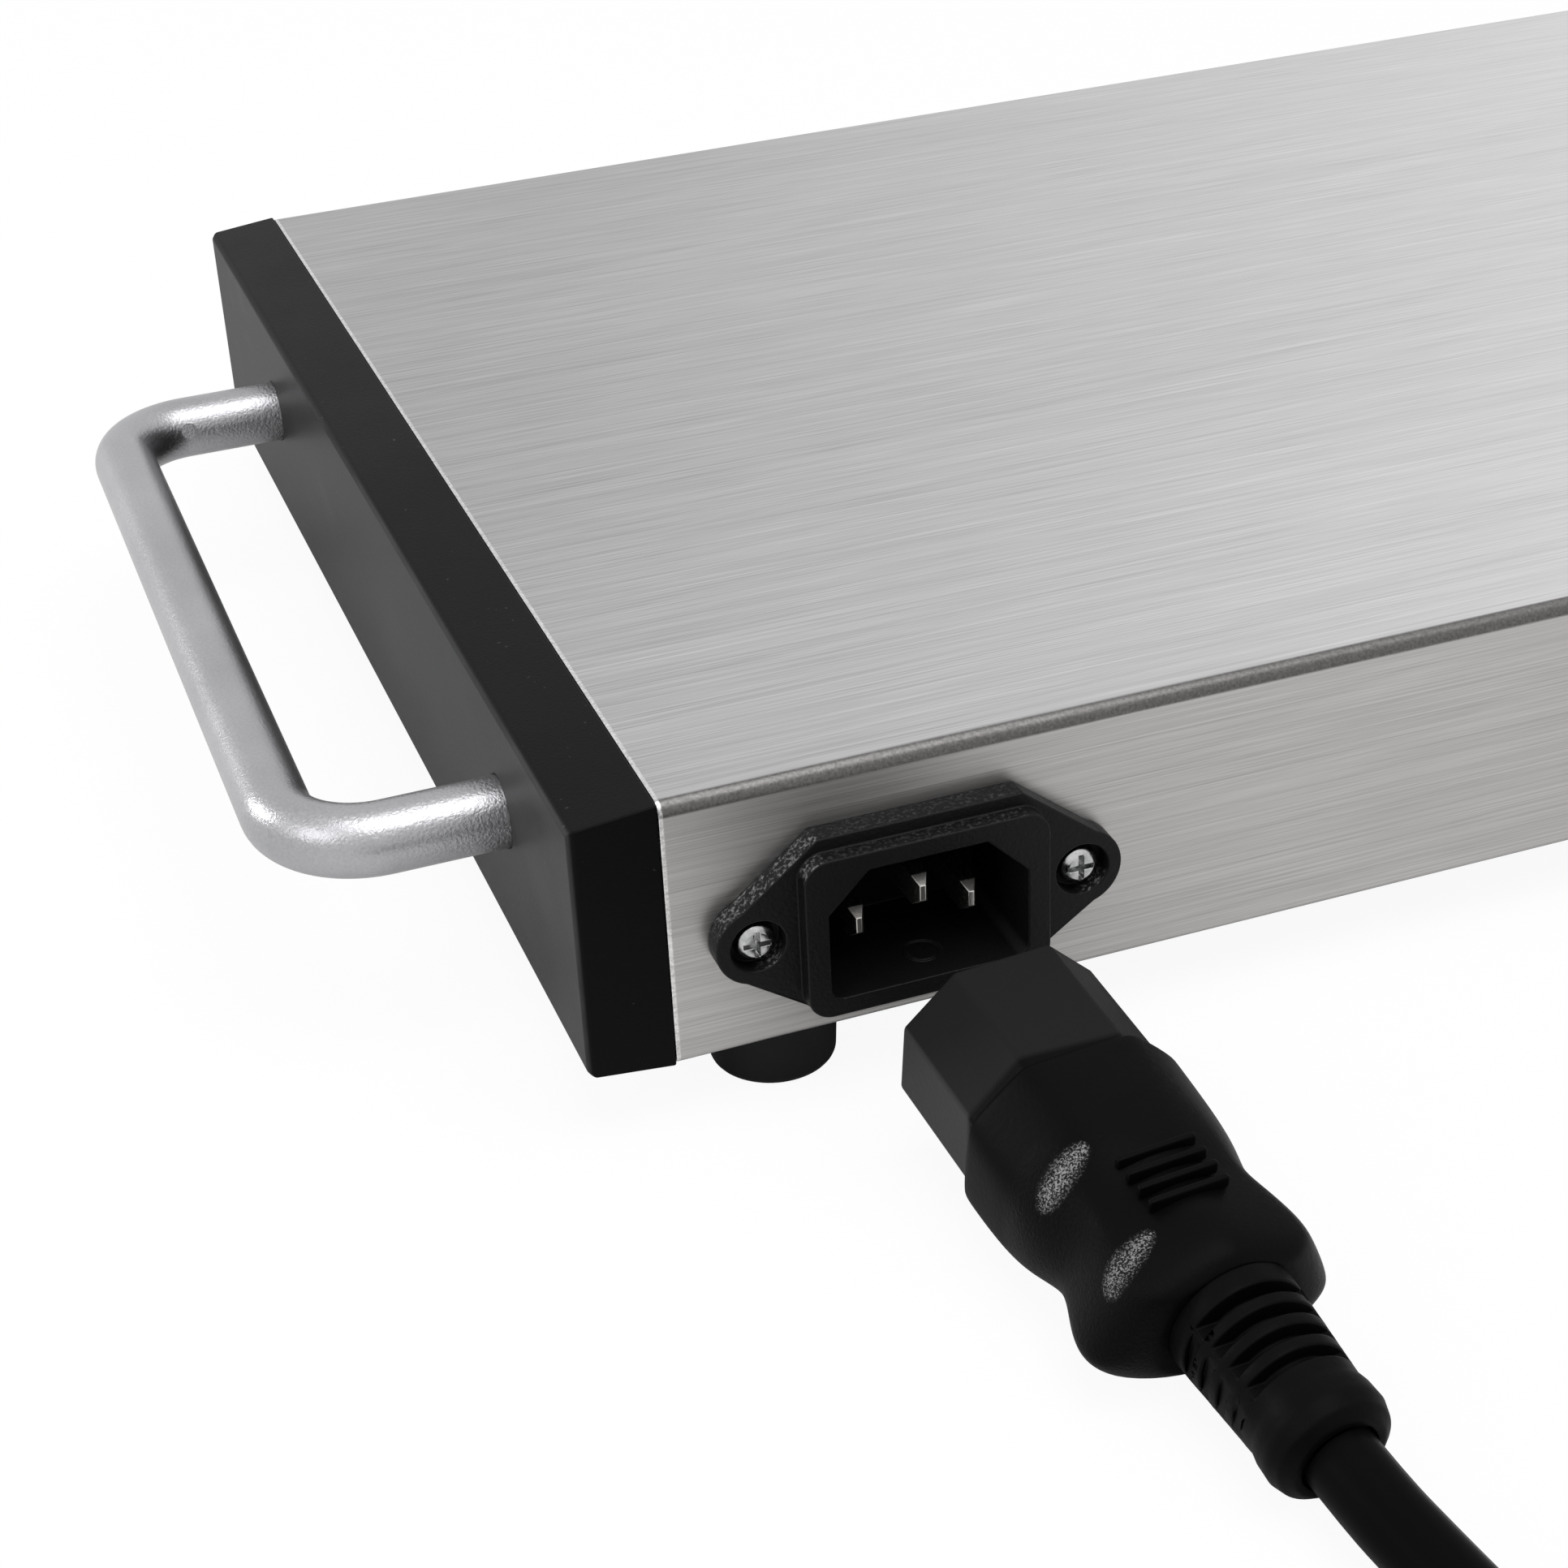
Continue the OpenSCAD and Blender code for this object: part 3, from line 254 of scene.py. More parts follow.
def moulded(name, colour, rough, grain=2200, depth=0.00006, specular=0.12):
    f = Finish(name)
    f.feed("Specular IOR Level", specular)
    fine = f.noise(grain, 2, 0.6)
    cloud = f.noise(35, 3)
    paler = tuple(c * 1.7 + 0.001 for c in colour)
    f.feed("Base Color", f.mix(cloud, colour, paler))
    f.feed("Roughness", rough + (cloud - 0.5) * 0.12 + (fine - 0.5) * 0.1)
    f.feed("Normal", f.bump(fine, depth, 0.6))
    return f.material


capLook = {
    "black": (0.0025, 0.0025, 0.0027), "smokeAndPaintedSheen": (0.044, 0.044, 0.045),
    "speck": (0.12, 0.12, 0.12), "rough": 0.42, "specular": 0.05, "outerFace": 0.1995,
    "smokeAndSheenFrom": 0.36, "smokeAndSheenGain": 2.2, "paintedSheenRearward": 2.5, "smokeAndSheenLeast": 0.1,
}


def capPlastic(look):  # smoky outer face with a painted sheen that is painted paler towards the rear, plain elsewhere, with fine pale specks
    f = Finish("capPlastic")
    f.feed("Specular IOR Level", look["specular"])
    x, y = f.axes()[:2]
    outer = x.size().past(look["outerFace"], 4000)
    smoke = f.noise(26, 4, 0.6, f.stretched((1, 1, 1.6)))
    fine = f.noise(2400, 2, 0.6)
    speck = f.noise(900, 1, 0.5).past(0.76, 12)
    # the outer face's smoky mottling with a painted sheen on it, painted paler towards the rear
    smokeAndPaintedSheen = (smoke - look["smokeAndSheenFrom"]) * look["smokeAndSheenGain"] + y * look["paintedSheenRearward"]
    smokeAndPaintedSheen = (smokeAndPaintedSheen + look["smokeAndSheenLeast"]).clamped()
    shade = f.mix(smokeAndPaintedSheen * outer, look["black"], look["smokeAndPaintedSheen"])
    f.feed("Base Color", f.mix(speck * 0.5, shade, look["speck"]))
    f.feed("Roughness", look["rough"] + (smoke - 0.5) * 0.2 + (fine - 0.5) * 0.08)
    f.feed("Normal", f.bump(fine, 0.00005, 0.5))
    return f.material


inletLook = {
    "dark": (0.0035, 0.0035, 0.0038), "light": (0.0065, 0.0065, 0.0068),
    "paintedLitSlope": (0.02, 0.02, 0.02), "tips": (0.24, 0.24, 0.24), "rough": 0.42, "specular": 0.12,
    "slope": (0.60, 0, 0.80), "overFloor": 0.0185,
}


def inletPlastic(look):  # painted light: the flange's slope is painted paler, and the grain's tips carry painted glints, most on that slope
    f = Finish("inletPlastic")
    f.feed("Specular IOR Level", look["specular"])
    grain = f.noise(1900, 3, 0.65)
    cloud = f.noise(60, 2)
    lean = f.lean(look["slope"])
    z = f.axes()[2]
    # painted light: the slope is painted paler, and the grain's tips on it carry painted glints
    paintedLitSlope = lean.past(0.82, 6)
    tips = grain.past(0.50, 6) * (paintedLitSlope * 0.85 + lean.past(0.7, 10) * 0.15)
    tips = tips * z.past(look["overFloor"], 2000)  # no painted glints on the socket's floor
    shade = f.mix(cloud, look["dark"], look["light"])
    shade = f.mix(paintedLitSlope * 0.5, shade, look["paintedLitSlope"])
    f.feed("Base Color", f.mix(tips * 0.85, shade, look["tips"]))
    f.feed("Roughness", look["rough"] + (cloud - 0.5) * 0.12 + (grain - 0.5) * 0.1)
    f.feed("Normal", f.bump(grain, 0.00014, 0.6))
    return f.material


# each painted highlight on the grip, a pale speckled patch, is an ellipse round two points, in
# metres
leadLook = {
    "dark": (0.0016, 0.0016, 0.0017), "light": (0.0035, 0.0035, 0.0036),
    "nose": (0.0165, 0.0165, 0.0165), "paintedLitNoseSide": (0.04, 0.04, 0.04),
    "paintedGlint": (0.32, 0.32, 0.32), "rough": 0.44, "specular": 0.032,
    "noseEnd": 0.1415, "left": (0.99, 0.09, 0.07),
    "middle": 0.1655, "slant": 0.083, "hollowOut": 0.0085, "hollowFrom": 0.151, "hollowTo": 0.186,
    "spread": 0.0097,
    "paintedGlintPatches": (((0.1661, 0.1569, 0.0146), (0.1597, 0.1554, 0.0202)),
                ((0.1654, 0.1706, 0.0134), (0.1582, 0.1680, 0.0176))),
}


def leadPlastic(look):  # fine grain, coarser in the grip's hollows, with a paler nose, a painted lit side on the nose, and painted highlights on the grip
    f = Finish("leadPvc")
    f.feed("Specular IOR Level", look["specular"])
    x, y = f.axes()[:2]
    fine = f.noise(1500, 2, 0.6)
    coarse = f.noise(2600, 3, 0.7)
    grain = f.noise(4300, 2, 0.7)
    cloud = f.noise(70, 2)
    outward = (y * look["slant"] + x - look["middle"]).size()  # away from its middle plane
    hollow = outward.past(look["hollowOut"], 500) * y.short(look["hollowTo"], 400)
    hollow = hollow * y.past(look["hollowFrom"], 400)
    shade = f.mix(cloud, look["dark"], look["light"])
    nose = y.short(look["noseEnd"], 1200)
    shade = f.mix(nose * 0.8, shade, look["nose"])
    # painted light: the nose's side that faces +X is painted paler
    shade = f.mix(nose * f.lean(look["left"]).past(0.8, 6), shade, look["paintedLitNoseSide"])
    # painted highlights: pale speckled patches on the grip's shoulders, with grains in them
    glow = 0
    for ends in look["paintedGlintPatches"]:
        glow = sum(f.distance(end) for end in ends).short(look["spread"], 900) + glow
    paintedGlintGrains = ((grain - 0.57 + glow * 0.12) * 9).clamped() * glow
    f.feed("Base Color", f.mix(paintedGlintGrains * 0.85 + glow * 0.03, shade, look["paintedGlint"]))
    f.feed("Roughness", look["rough"] + (cloud - 0.5) * 0.12 - hollow * 0.1)
    f.feed("Normal", f.bump(fine * 0.35 + coarse * (0.1 + hollow * 1.3), 0.00014, 0.7))
    return f.material


knobLook = {
    "dark": (0.006, 0.006, 0.0065), "light": (0.011, 0.011, 0.0115),
    "line": (0.72, 0.72, 0.71), "rough": 0.33, "specular": 0.14,
    "across": 0.12, "up": 0.0255, "face": -0.1138, "from": 0.0036, "to": 0.0104, "half": 0.00045,
}


def knobPlastic(look):  # satin black, with a pale line along the knob's pointer
    f = Finish("knobPlastic")
    f.feed("Specular IOR Level", look["specular"])
    x, y, z = f.axes()
    fine = f.noise(1600, 2, 0.6)
    cloud = f.noise(45, 2)
    reach = ((z - look["up"] - (look["from"] + look["to"]) / 2).size()
             - (look["to"] - look["from"]) / 2)
    line = (x - look["across"]).size().short(look["half"], 20000)
    line = line * reach.short(0, 20000) * y.short(look["face"], 9000)
    shade = f.mix(cloud, look["dark"], look["light"])
    f.feed("Base Color", f.mix(line, shade, look["line"]))
    f.feed("Roughness", look["rough"] + (cloud - 0.5) * 0.12 + (fine - 0.5) * 0.1)
    f.feed("Normal", f.bump(fine, 0.00004, 0.6))
    return f.material


def amberLens():
    f = Finish("amberLens", Roughness=0.12)
    f.feed("Transmission Weight", 0.5)
    ripple = f.noise(500, 1)
    f.feed("Base Color", f.mix(ripple, (0.70, 0.18, 0.02), (0.85, 0.30, 0.05)))
    return f.material


leadFinish = leadPlastic(leadLook)
slotFinish = {
    "brushed_steel": brushedSteel(steelLook),
    "plated_steel": dullMetal("platedSteel", (0.42, 0.43, 0.44), (0.56, 0.57, 0.58), 0.38),
    "cap_plastic": capPlastic(capLook),
    "satin_aluminium": dullMetal("satinAluminium", (0.27, 0.27, 0.282), (0.47, 0.47, 0.484),
                                 0.34, 2600, 0.00012),
    "foot_rubber": moulded("footRubber", (0.004, 0.004, 0.004), 0.5, 700, 0.00002),
    "inlet_plastic": inletPlastic(inletLook),
    "nickel_brass": bladeMetal(bladeLook),
    "screw_steel": dullMetal("screwSteel", (0.03, 0.03, 0.031), (0.80, 0.805, 0.81), 0.2, 1100),
    "plain_aluminium": dullMetal("plainAluminium", (0.60, 0.60, 0.61), (0.72, 0.72, 0.73), 0.32),
    "element_sheath": dullMetal("elementSheath", (0.10, 0.10, 0.11), (0.20, 0.19, 0.18), 0.5),
    "plain_brass": dullMetal("plainBrass", (0.55, 0.40, 0.16), (0.72, 0.56, 0.26), 0.3),
    "ceramic_fibre": moulded("ceramicFibre", (0.62, 0.60, 0.54), 0.95, 700, 0.0004),
    "ceramic": moulded("ceramic", (0.55, 0.53, 0.47), 0.25, 300, 0.00002),
    "knob_plastic": knobPlastic(knobLook),
    "amber_lens": amberLens(),
    "lead_pvc": leadFinish,
    "cord_pvc": moulded("cordPvc", (0.0015, 0.0015, 0.0015), 0.33, 500, 0.00002, specular=0.022),
    "tie_strap": moulded("tieStrap", (0.010, 0.010, 0.011), 0.8, 900, 0.0002),
}
slotOf = {part["node"]: part["material_slot"] for part in frame["record"]["subparts"]}

for name, node in frame["nodes"].items():
    node.data.materials.clear()
    node.data.materials.append(slotFinish[slotOf[name]])
print("finishes made")


# the lead's cord runs out of the strain relief, then lies in two layers of coil; in mm
cordSetup = {
    "radius": 4.0,
    "route": [(150.4, 193.6, 6.7), (149.5, 201, 5.75), (148.8, 205, 5.3), (148.1, 209, 4.95),
              (147.4, 213, 4.65), (146.8, 217, 4.45), (146.2, 221, 4.3), (145.7, 225, 4.2),
              (145.3, 229, 4.2), (144.9, 233, 4.2), (144.6, 237, 4.25), (144.4, 241, 4.3),
              (144.2, 245, 4.4), (144.1, 251, 4.5), (144, 255, 4.6), (144, 260, 4.6)],
    "coilCentre": (199.6, 268), "outerRadius": 55.6, "pitch": 9.6, "layer": 9,
    "turns": 2.375, "climb": 0.5, "stepsPerTurn": 24, "height": 4.6,
}


def coilPoint(setup, turn):
    inner = setup["outerRadius"] - setup["pitch"] * setup["turns"]
    climbed = min(max((turn - setup["turns"]) / setup["climb"], 0), 1)
    radius = max(inner, setup["outerRadius"] - setup["pitch"] * turn,
                 inner + setup["pitch"] * (turn - setup["turns"] - setup["climb"]))
    angle = math.tau * turn
    return (setup["coilCentre"][0] - radius * math.cos(angle),
            setup["coilCentre"][1] + radius * math.sin(angle),
            setup["height"] + setup["layer"] * climbed)


def cordPath(setup):
    total = 2 * setup["turns"] + setup["climb"]
    steps = round(total * setup["stepsPerTurn"])
    coil = [coilPoint(setup, total * i / steps) for i in range(steps + 1)]
    end = coil[-1]
    points = setup["route"] + coil[1:] + [(end[0] + 2 * setup["radius"], end[1], end[2])]
    return [Vector(p) * mm for p in points]


def makeCord(setup):
    points = cordPath(setup)
    data = bpy.data.curves.new("leadCord", "CURVE")
    data.dimensions = "3D"
    data.bevel_depth = setup["radius"] * mm
    data.bevel_resolution = 8
    data.resolution_u = 3
    data.use_fill_caps = True
    spline = data.splines.new("BEZIER")
    spline.bezier_points.add(len(points) - 1)
    for knot, place in zip(spline.bezier_points, points):
        knot.co = place
        knot.handle_left_type = knot.handle_right_type = "AUTO"
    cord = bpy.data.objects.new("leadCord", data)
    bpy.context.scene.collection.objects.link(cord)
    data.materials.append(slotFinish["cord_pvc"])
    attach(cord, "root")
    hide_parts("cord_run", "cord_coil")


makeCord(cordSetup)


def newObject(name, bm, slot, body):
    mesh = bpy.data.meshes.new(name)
    bm.to_mesh(mesh)
    bm.free()
    mesh.materials.append(slotFinish[slot])
    piece = bpy.data.objects.new(name, mesh)
    bpy.context.scene.collection.objects.link(piece)
    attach(piece, body)
    return piece


# a piece replaces one CAD node and takes that node's finish
def addPiece(name, bm, node, body="root", sharpFrom=32):
    piece = newObject(name, bm, slotOf[node], body)
    piece.data.shade_smooth()
    piece.data.set_sharp_from_angle(angle=math.radians(sharpFrom))
    even = piece.modifiers.new("evenNormals", "WEIGHTED_NORMAL")  # keeps the flats flat
    even.keep_sharp = True
    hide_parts(node)
    return piece


def copyOf(node):  # a node's triangles, merged, with its flat faces made whole
    bm = bmesh.new()
    bm.from_mesh(frame["nodes"][node].data)
    bmesh.ops.remove_doubles(bm, verts=bm.verts, dist=2 * nothing)
    bmesh.ops.dissolve_degenerate(bm, edges=bm.edges, dist=nothing)
    bmesh.ops.dissolve_limit(bm, angle_limit=math.radians(0.4), verts=bm.verts, edges=bm.edges)
    return bm


def bevelled(bm, edges, width, segments):  # width in the mesh's own unit
    return bmesh.ops.bevel(bm, geom=edges, offset=width, offset_type="OFFSET", segments=segments,
                           profile=0.5, affect="EDGES", clamp_overlap=False, material=-1)


def isSharp(edge, degrees):
    return edge.is_manifold and edge.calc_face_angle() > math.radians(degrees)


def softenEdges(bm, width, segments):
    bevelled(bm, [e for e in bm.edges if isSharp(e, sharpAngle)], width * mm, segments)
    bmesh.ops.remove_doubles(bm, verts=bm.verts, dist=nothing)


def movedOn(bm, made, move):  # what an extrusion made, moved on
    bmesh.ops.translate(bm, vec=move, verts=[v for v in made if isinstance(v, bmesh.types.BMVert)])


# moulded and pressed pieces: the node's own form with its edges rounded over, in mm
edgeRounds = {
    "trayShell": {"node": "top_shell", "width": 0.15, "segments": 2},
    "endCapRight": {"node": "end_cap_right", "width": 0.3, "segments": 3},
    "endCapLeft": {"node": "end_cap_left", "width": 0.3, "segments": 3},
    "inletHousing": {"node": "inlet_housing", "width": 0.22, "segments": 3},
    "inletBlades": {"node": "inlet_pins", "width": 0.12, "segments": 2},
    "inletScrews": {"node": "inlet_screws", "width": 0.06, "segments": 2},
    "connectorNose": {"node": "connector_nose", "width": 0.5, "segments": 4},
    "leadTie": {"node": "cord_tie", "width": 0.15, "segments": 2},
    "plugBody": {"node": "plug_body", "width": 0.4, "segments": 3},
    "plugContacts": {"node": "plug_pins", "width": 0.15, "segments": 2},
    "dialRing": {"node": "dial_ring", "width": 0.1, "segments": 2},
    "lampBezel": {"node": "lamp_bezel", "width": 0.25, "segments": 3},
    "lampLens": {"node": "lamp_lens", "width": 0.1, "segments": 2},
    "controlKnob": {"node": "control_knob", "width": 0.25, "segments": 3, "body": "knob"},
}

for name, setup in edgeRounds.items():
    shape = copyOf(setup["node"])
    softenEdges(shape, setup["width"], setup["segments"])
    addPiece(name, shape, setup["node"], setup.get("body", "root"))
print("rounded pieces made")


# a bent bar with a post at each end; one post has a shallow spot on it; in mm and degrees
handleSetup = {
    "face": 200, "seat": 1, "middle": (12, 27.5), "span": 131, "reach": 25,
    "barRadius": 4.5, "bend": 11, "boreRadius": 2, "boreDepth": 14, "footRound": 0.3,
    "sides": 64, "bendSteps": 24,
    "spot": {"out": 14.2, "radius": 1.45, "taper": 0.8, "tilt": 14, "off": 0.62, "depth": 2},
}


def drawnOn(bm, edges, move):  # a ring of edges extruded and moved on
    made = bmesh.ops.extrude_edge_only(bm, edges=edges)["geom"]
    movedOn(bm, made, Vector(move) * mm)
    return [e for e in made if isinstance(e, bmesh.types.BMEdge)]


def turnedOn(bm, edges, centre, setup):  # a ring of edges swung a quarter round a vertical line
    ring = list({v for e in edges for v in e.verts}) + edges
    last = bmesh.ops.spin(bm, geom=ring, cent=Vector(centre) * mm, axis=(0, 0, 1),
                          dvec=(0, 0, 0), angle=math.pi / 2, steps=setup["bendSteps"],
                          use_merge=False, use_normal_flip=False, use_duplicate=False)["geom_last"]
    return [e for e in last if isinstance(e, bmesh.types.BMEdge)]


def closedFoot(bm, edges, setup):  # closes a post's foot and bores it for its screw
    face = bmesh.ops.edgeloop_fill(bm, edges=edges)["faces"]
    bmesh.ops.inset_region(bm, faces=face, use_even_offset=True,
                           thickness=(setup["barRadius"] - setup["boreRadius"]) * mm)
    made = bmesh.ops.extrude_face_region(bm, geom=face)["geom"]
    movedOn(bm, made, (setup["boreDepth"] * mm, 0, 0))
    bmesh.ops.delete(bm, geom=face, context="FACES_ONLY")


def footRims(bm, setup, nearY, farY):  # the sharp outer edges of both posts' feet
    middleY, middleZ = setup["middle"]

    def onRim(point):
        post = Vector((nearY if point.y < middleY * mm else farY, middleZ)) * mm
        return (point.yz - post).length > 0.9 * setup["barRadius"] * mm

    return [e for e in bm.edges if isSharp(e, 60) and all(onRim(v.co) for v in e.verts)]


def makeHandle(name, node, setup, side):
    bend, spot = setup["bend"], setup["spot"]
    middleY, middleZ = setup["middle"]
    startX = setup["face"] - setup["seat"]
    nearY = middleY - setup["span"] / 2
    farY = nearY + setup["span"]
    post = setup["reach"] + setup["seat"] - bend
    bendX = setup["face"] + setup["reach"] - bend
    place = Matrix.Translation(Vector((startX, nearY, middleZ)) * mm) @ Matrix.Rotation(
        math.pi / 2, 4, "Y")
    bm = bmesh.new()
    bmesh.ops.create_circle(bm, segments=setup["sides"], radius=setup["barRadius"] * mm,
                            matrix=place)
    first = list(bm.edges)
    edges = drawnOn(bm, first, (post, 0, 0))
    edges = turnedOn(bm, edges, (bendX, nearY + bend, middleZ), setup)
    edges = drawnOn(bm, edges, (0, setup["span"] - 2 * bend, 0))
    edges = turnedOn(bm, edges, (bendX, farY - bend, middleZ), setup)
    last = drawnOn(bm, edges, (-post, 0, 0))
    closedFoot(bm, first, setup)
    closedFoot(bm, last, setup)
    bmesh.ops.remove_doubles(bm, verts=bm.verts, dist=nothing)
    bevelled(bm, footRims(bm, setup, nearY, farY), setup["footRound"] * mm, 3)
    if side < 0:
        bmesh.ops.scale(bm, vec=(-1, 1, 1), verts=bm.verts)
    bmesh.ops.recalc_face_normals(bm, faces=bm.faces)
    handle = addPiece(name, bm, node)
    cutter = bmesh.new()
    aim = Matrix.Rotation(math.radians(spot["tilt"]), 4, "X") @ Matrix.Translation(
        (0, (setup["barRadius"] + spot["off"]) * mm, 0)) @ Matrix.Rotation(math.pi / 2, 4, "X")
    middle = Vector((side * (setup["face"] + spot["out"]), nearY, middleZ)) * mm
    bmesh.ops.create_cone(cutter, cap_ends=True, segments=32, depth=spot["depth"] * mm,
                          radius1=spot["radius"] * mm,
                          radius2=spot["radius"] * spot["taper"] * mm,
                          matrix=Matrix.Translation(middle) @ aim)
    carve(handle, cutter)


def carve(piece, cutterShape):  # takes another shape out of the piece
    mesh = bpy.data.meshes.new("cutter")
    cutterShape.to_mesh(mesh)
    cutterShape.free()
    cutter = bpy.data.objects.new("cutter", mesh)
    bpy.context.scene.collection.objects.link(cutter)
    step = piece.modifiers.new("carve", "BOOLEAN")
    step.operation, step.solver, step.object = "DIFFERENCE", "EXACT", cutter
    piece.modifiers.move(1, 0)
    made = bpy.data.meshes.new_from_object(
        piece.evaluated_get(bpy.context.evaluated_depsgraph_get()))
    piece.modifiers.clear()
    piece.data = made
    made.name = piece.name
    bpy.data.objects.remove(cutter)


makeHandle("handleRight", "handle_right", handleSetup, 1)
makeHandle("handleLeft", "handle_left", handleSetup, -1)
print("handles made")


dialSetup = {
    "middle": (120, 25.5), "face": -97.6, "inner": 14.3, "outer": 15.4, "ticks": 11,
    "sweep": 270, "tickWidth": 0.5, "thick": 0.04,
}


def makeDialMarks(setup):  # thin plain ticks round the dial, which replace no node
    bm = bmesh.new()
    x, z = setup["middle"]
    reach = (setup["inner"] + setup["outer"]) / 2
    size = Matrix.Diagonal((setup["tickWidth"], setup["thick"],
                            setup["outer"] - setup["inner"], 1))
    for i in range(setup["ticks"]):
        turn = setup["sweep"] * i / (setup["ticks"] - 1)
        place = Matrix.Translation((x, setup["face"], z)) @ Matrix.Rotation(
            math.radians(turn), 4, "Y") @ Matrix.Translation((0, 0, reach))
        bmesh.ops.create_cube(bm, size=1, matrix=place @ size)
    bmesh.ops.scale(bm, vec=(mm, mm, mm), verts=bm.verts)
    newObject("dialMarks", bm, "knob_plastic", "root")


makeDialMarks(dialSetup)
print("dial marked")


footSetup = {
    "out": 174.8, "rear": 99.7, "front": -87.7, "height": 8, "topRadius": 8,
    "bottomRadius": 7.65, "round": 1.2, "bore": 2.2, "sinkRadius": 4.3, "sink": 4, "steps": 72,
    "sinkRound": (0.2, 0.25), "topRound": (0.03, 0.3),
}


def footOutline(setup):  # radius and height of each corner of half a foot's section
    low, edge, wide = setup["bottomRadius"], setup["round"], setup["sinkRadius"]
    inside, mouth = setup["sinkRound"]
    slope, top = setup["topRound"]
    rounding = [(low - edge + edge * math.sin(a), edge - edge * math.cos(a))
                for a in [math.radians(15 * k) for k in range(7)]]
    return [(setup["bore"], setup["height"]), (setup["bore"], setup["sink"]),
            (wide - inside, setup["sink"]), (wide, setup["sink"] - inside), (wide, mouth),
            (wide + mouth, 0), *rounding, (setup["topRadius"] - slope, setup["height"] - top),
            (setup["topRadius"] - top, setup["height"])]


def makeFoot(name, node, setup, x, y):
    bm = bmesh.new()
    points = [bm.verts.new(((x + r) * mm, y * mm, z * mm)) for r, z in footOutline(setup)]
    edges = [bm.edges.new(pair) for pair in zip(points, points[1:] + points[:1])]
    bmesh.ops.spin(bm, geom=points + edges, cent=Vector((x, y, 0)) * mm, axis=(0, 0, 1),
                   dvec=(0, 0, 0), angle=math.tau, steps=setup["steps"], use_merge=True,
                   use_normal_flip=False, use_duplicate=False)
    bmesh.ops.remove_doubles(bm, verts=bm.verts, dist=nothing)
    bmesh.ops.recalc_face_normals(bm, faces=bm.faces)
    addPiece(name, bm, node)


for side, x in (("Right", footSetup["out"]), ("Left", -footSetup["out"])):
    for end in ("rear", "front"):
        makeFoot(end + "Foot" + side, "foot_" + end + "_" + side.lower(), footSetup, x,
                 footSetup[end])
print("feet made")


# the connector's own frame: its axis leaves along +Y from the front of its nose
connectorSetup = {
    "end": (150.4, 193.6, 6.7), "length": 70, "turn": 4.8, "dip": 8,
    "noseLength": 17, "noseHalf": (11.9, 7.9), "gripLength": 33,
    # share of the grip's length, half width, half height, cut at the top corners, rounding
    "sections": [(0, 12.5, 8.5, 6.0, 0.5), (0.012, 13.1, 8.95, 6.5, 0.9),
                 (0.06, 13.3, 9.2, 7.0, 1.2), (0.28, 13.3, 9.3, 7.4, 1.6),
                 (0.42, 13.05, 9.05, 7.2, 2.4), (0.52, 12.3, 8.55, 6.6, 3.0),
                 (0.6, 12.0, 8.2, 6.2, 3.4), (0.68, 12.8, 8.4, 6.6, 3.8),
                 (0.77, 14.0, 8.8, 7.6, 4.2), (0.85, 14.5, 9.0, 8.0, 4.6),
                 (0.92, 14.0, 8.9, 7.6, 4.8), (0.965, 12.2, 8.4, 6.4, 4.6),
                 (0.99, 10.2, 7.7, 5.2, 4.0), (1.0, 8.8, 7.3, 4.6, 3.6)],
    "endInset": 0.35, "levels": 3,
    "ribs": 4, "ribFrom": 0.49, "ribStep": 0.066, "ribSize": (9.4, 0.95, 1.8),
    "ribRound": 0.2, "ribRise": 0.5,
}


def connectorFrame(setup):
    turn = Matrix.Rotation(math.radians(setup["turn"]), 4, "Z") @ Matrix.Rotation(
        math.radians(-setup["dip"]), 4, "X")
    end = Vector(setup["end"]) - turn @ Vector((0, setup["length"], 0))
    return Matrix.Translation(end * mm) @ turn @ Matrix.Scale(mm, 4)


def gripCorners(halfWidth, halfHeight, cut, rounding):  # two points beside each of six corners
    mostOfEdge = 0.42  # a corner takes no more of an edge than this
    corners = [(halfWidth - cut, halfHeight), (halfWidth, halfHeight - cut),
               (halfWidth, -halfHeight), (-halfWidth, -halfHeight),
               (-halfWidth, halfHeight - cut), (cut - halfWidth, halfHeight)]
    corners = [Vector(c) for c in corners]
    ring = []
    for before, corner, after in zip(corners[-1:] + corners[:-1], corners,
                                     corners[1:] + corners[:1]):
        for other in (before, after):
            edge = other - corner
            ring.append(corner + edge.normalized() * min(rounding, mostOfEdge * edge.length))
    return ring


def addRib(bm, setup, along):
    wide, deep, tall = setup["ribSize"]
    block = bmesh.ops.create_cube(bm, size=1)["verts"]
    bmesh.ops.scale(bm, vec=(wide, deep, tall), verts=block)
    edges = list({e for v in block for e in v.link_edges})
    faces = bevelled(bm, edges, setup["ribRound"], 1)["faces"]
    bmesh.ops.translate(bm, verts=list({v for f in faces for v in f.verts}),
                        vec=(0, along + deep / 2, setup["noseHalf"][1] + setup["ribRise"]))


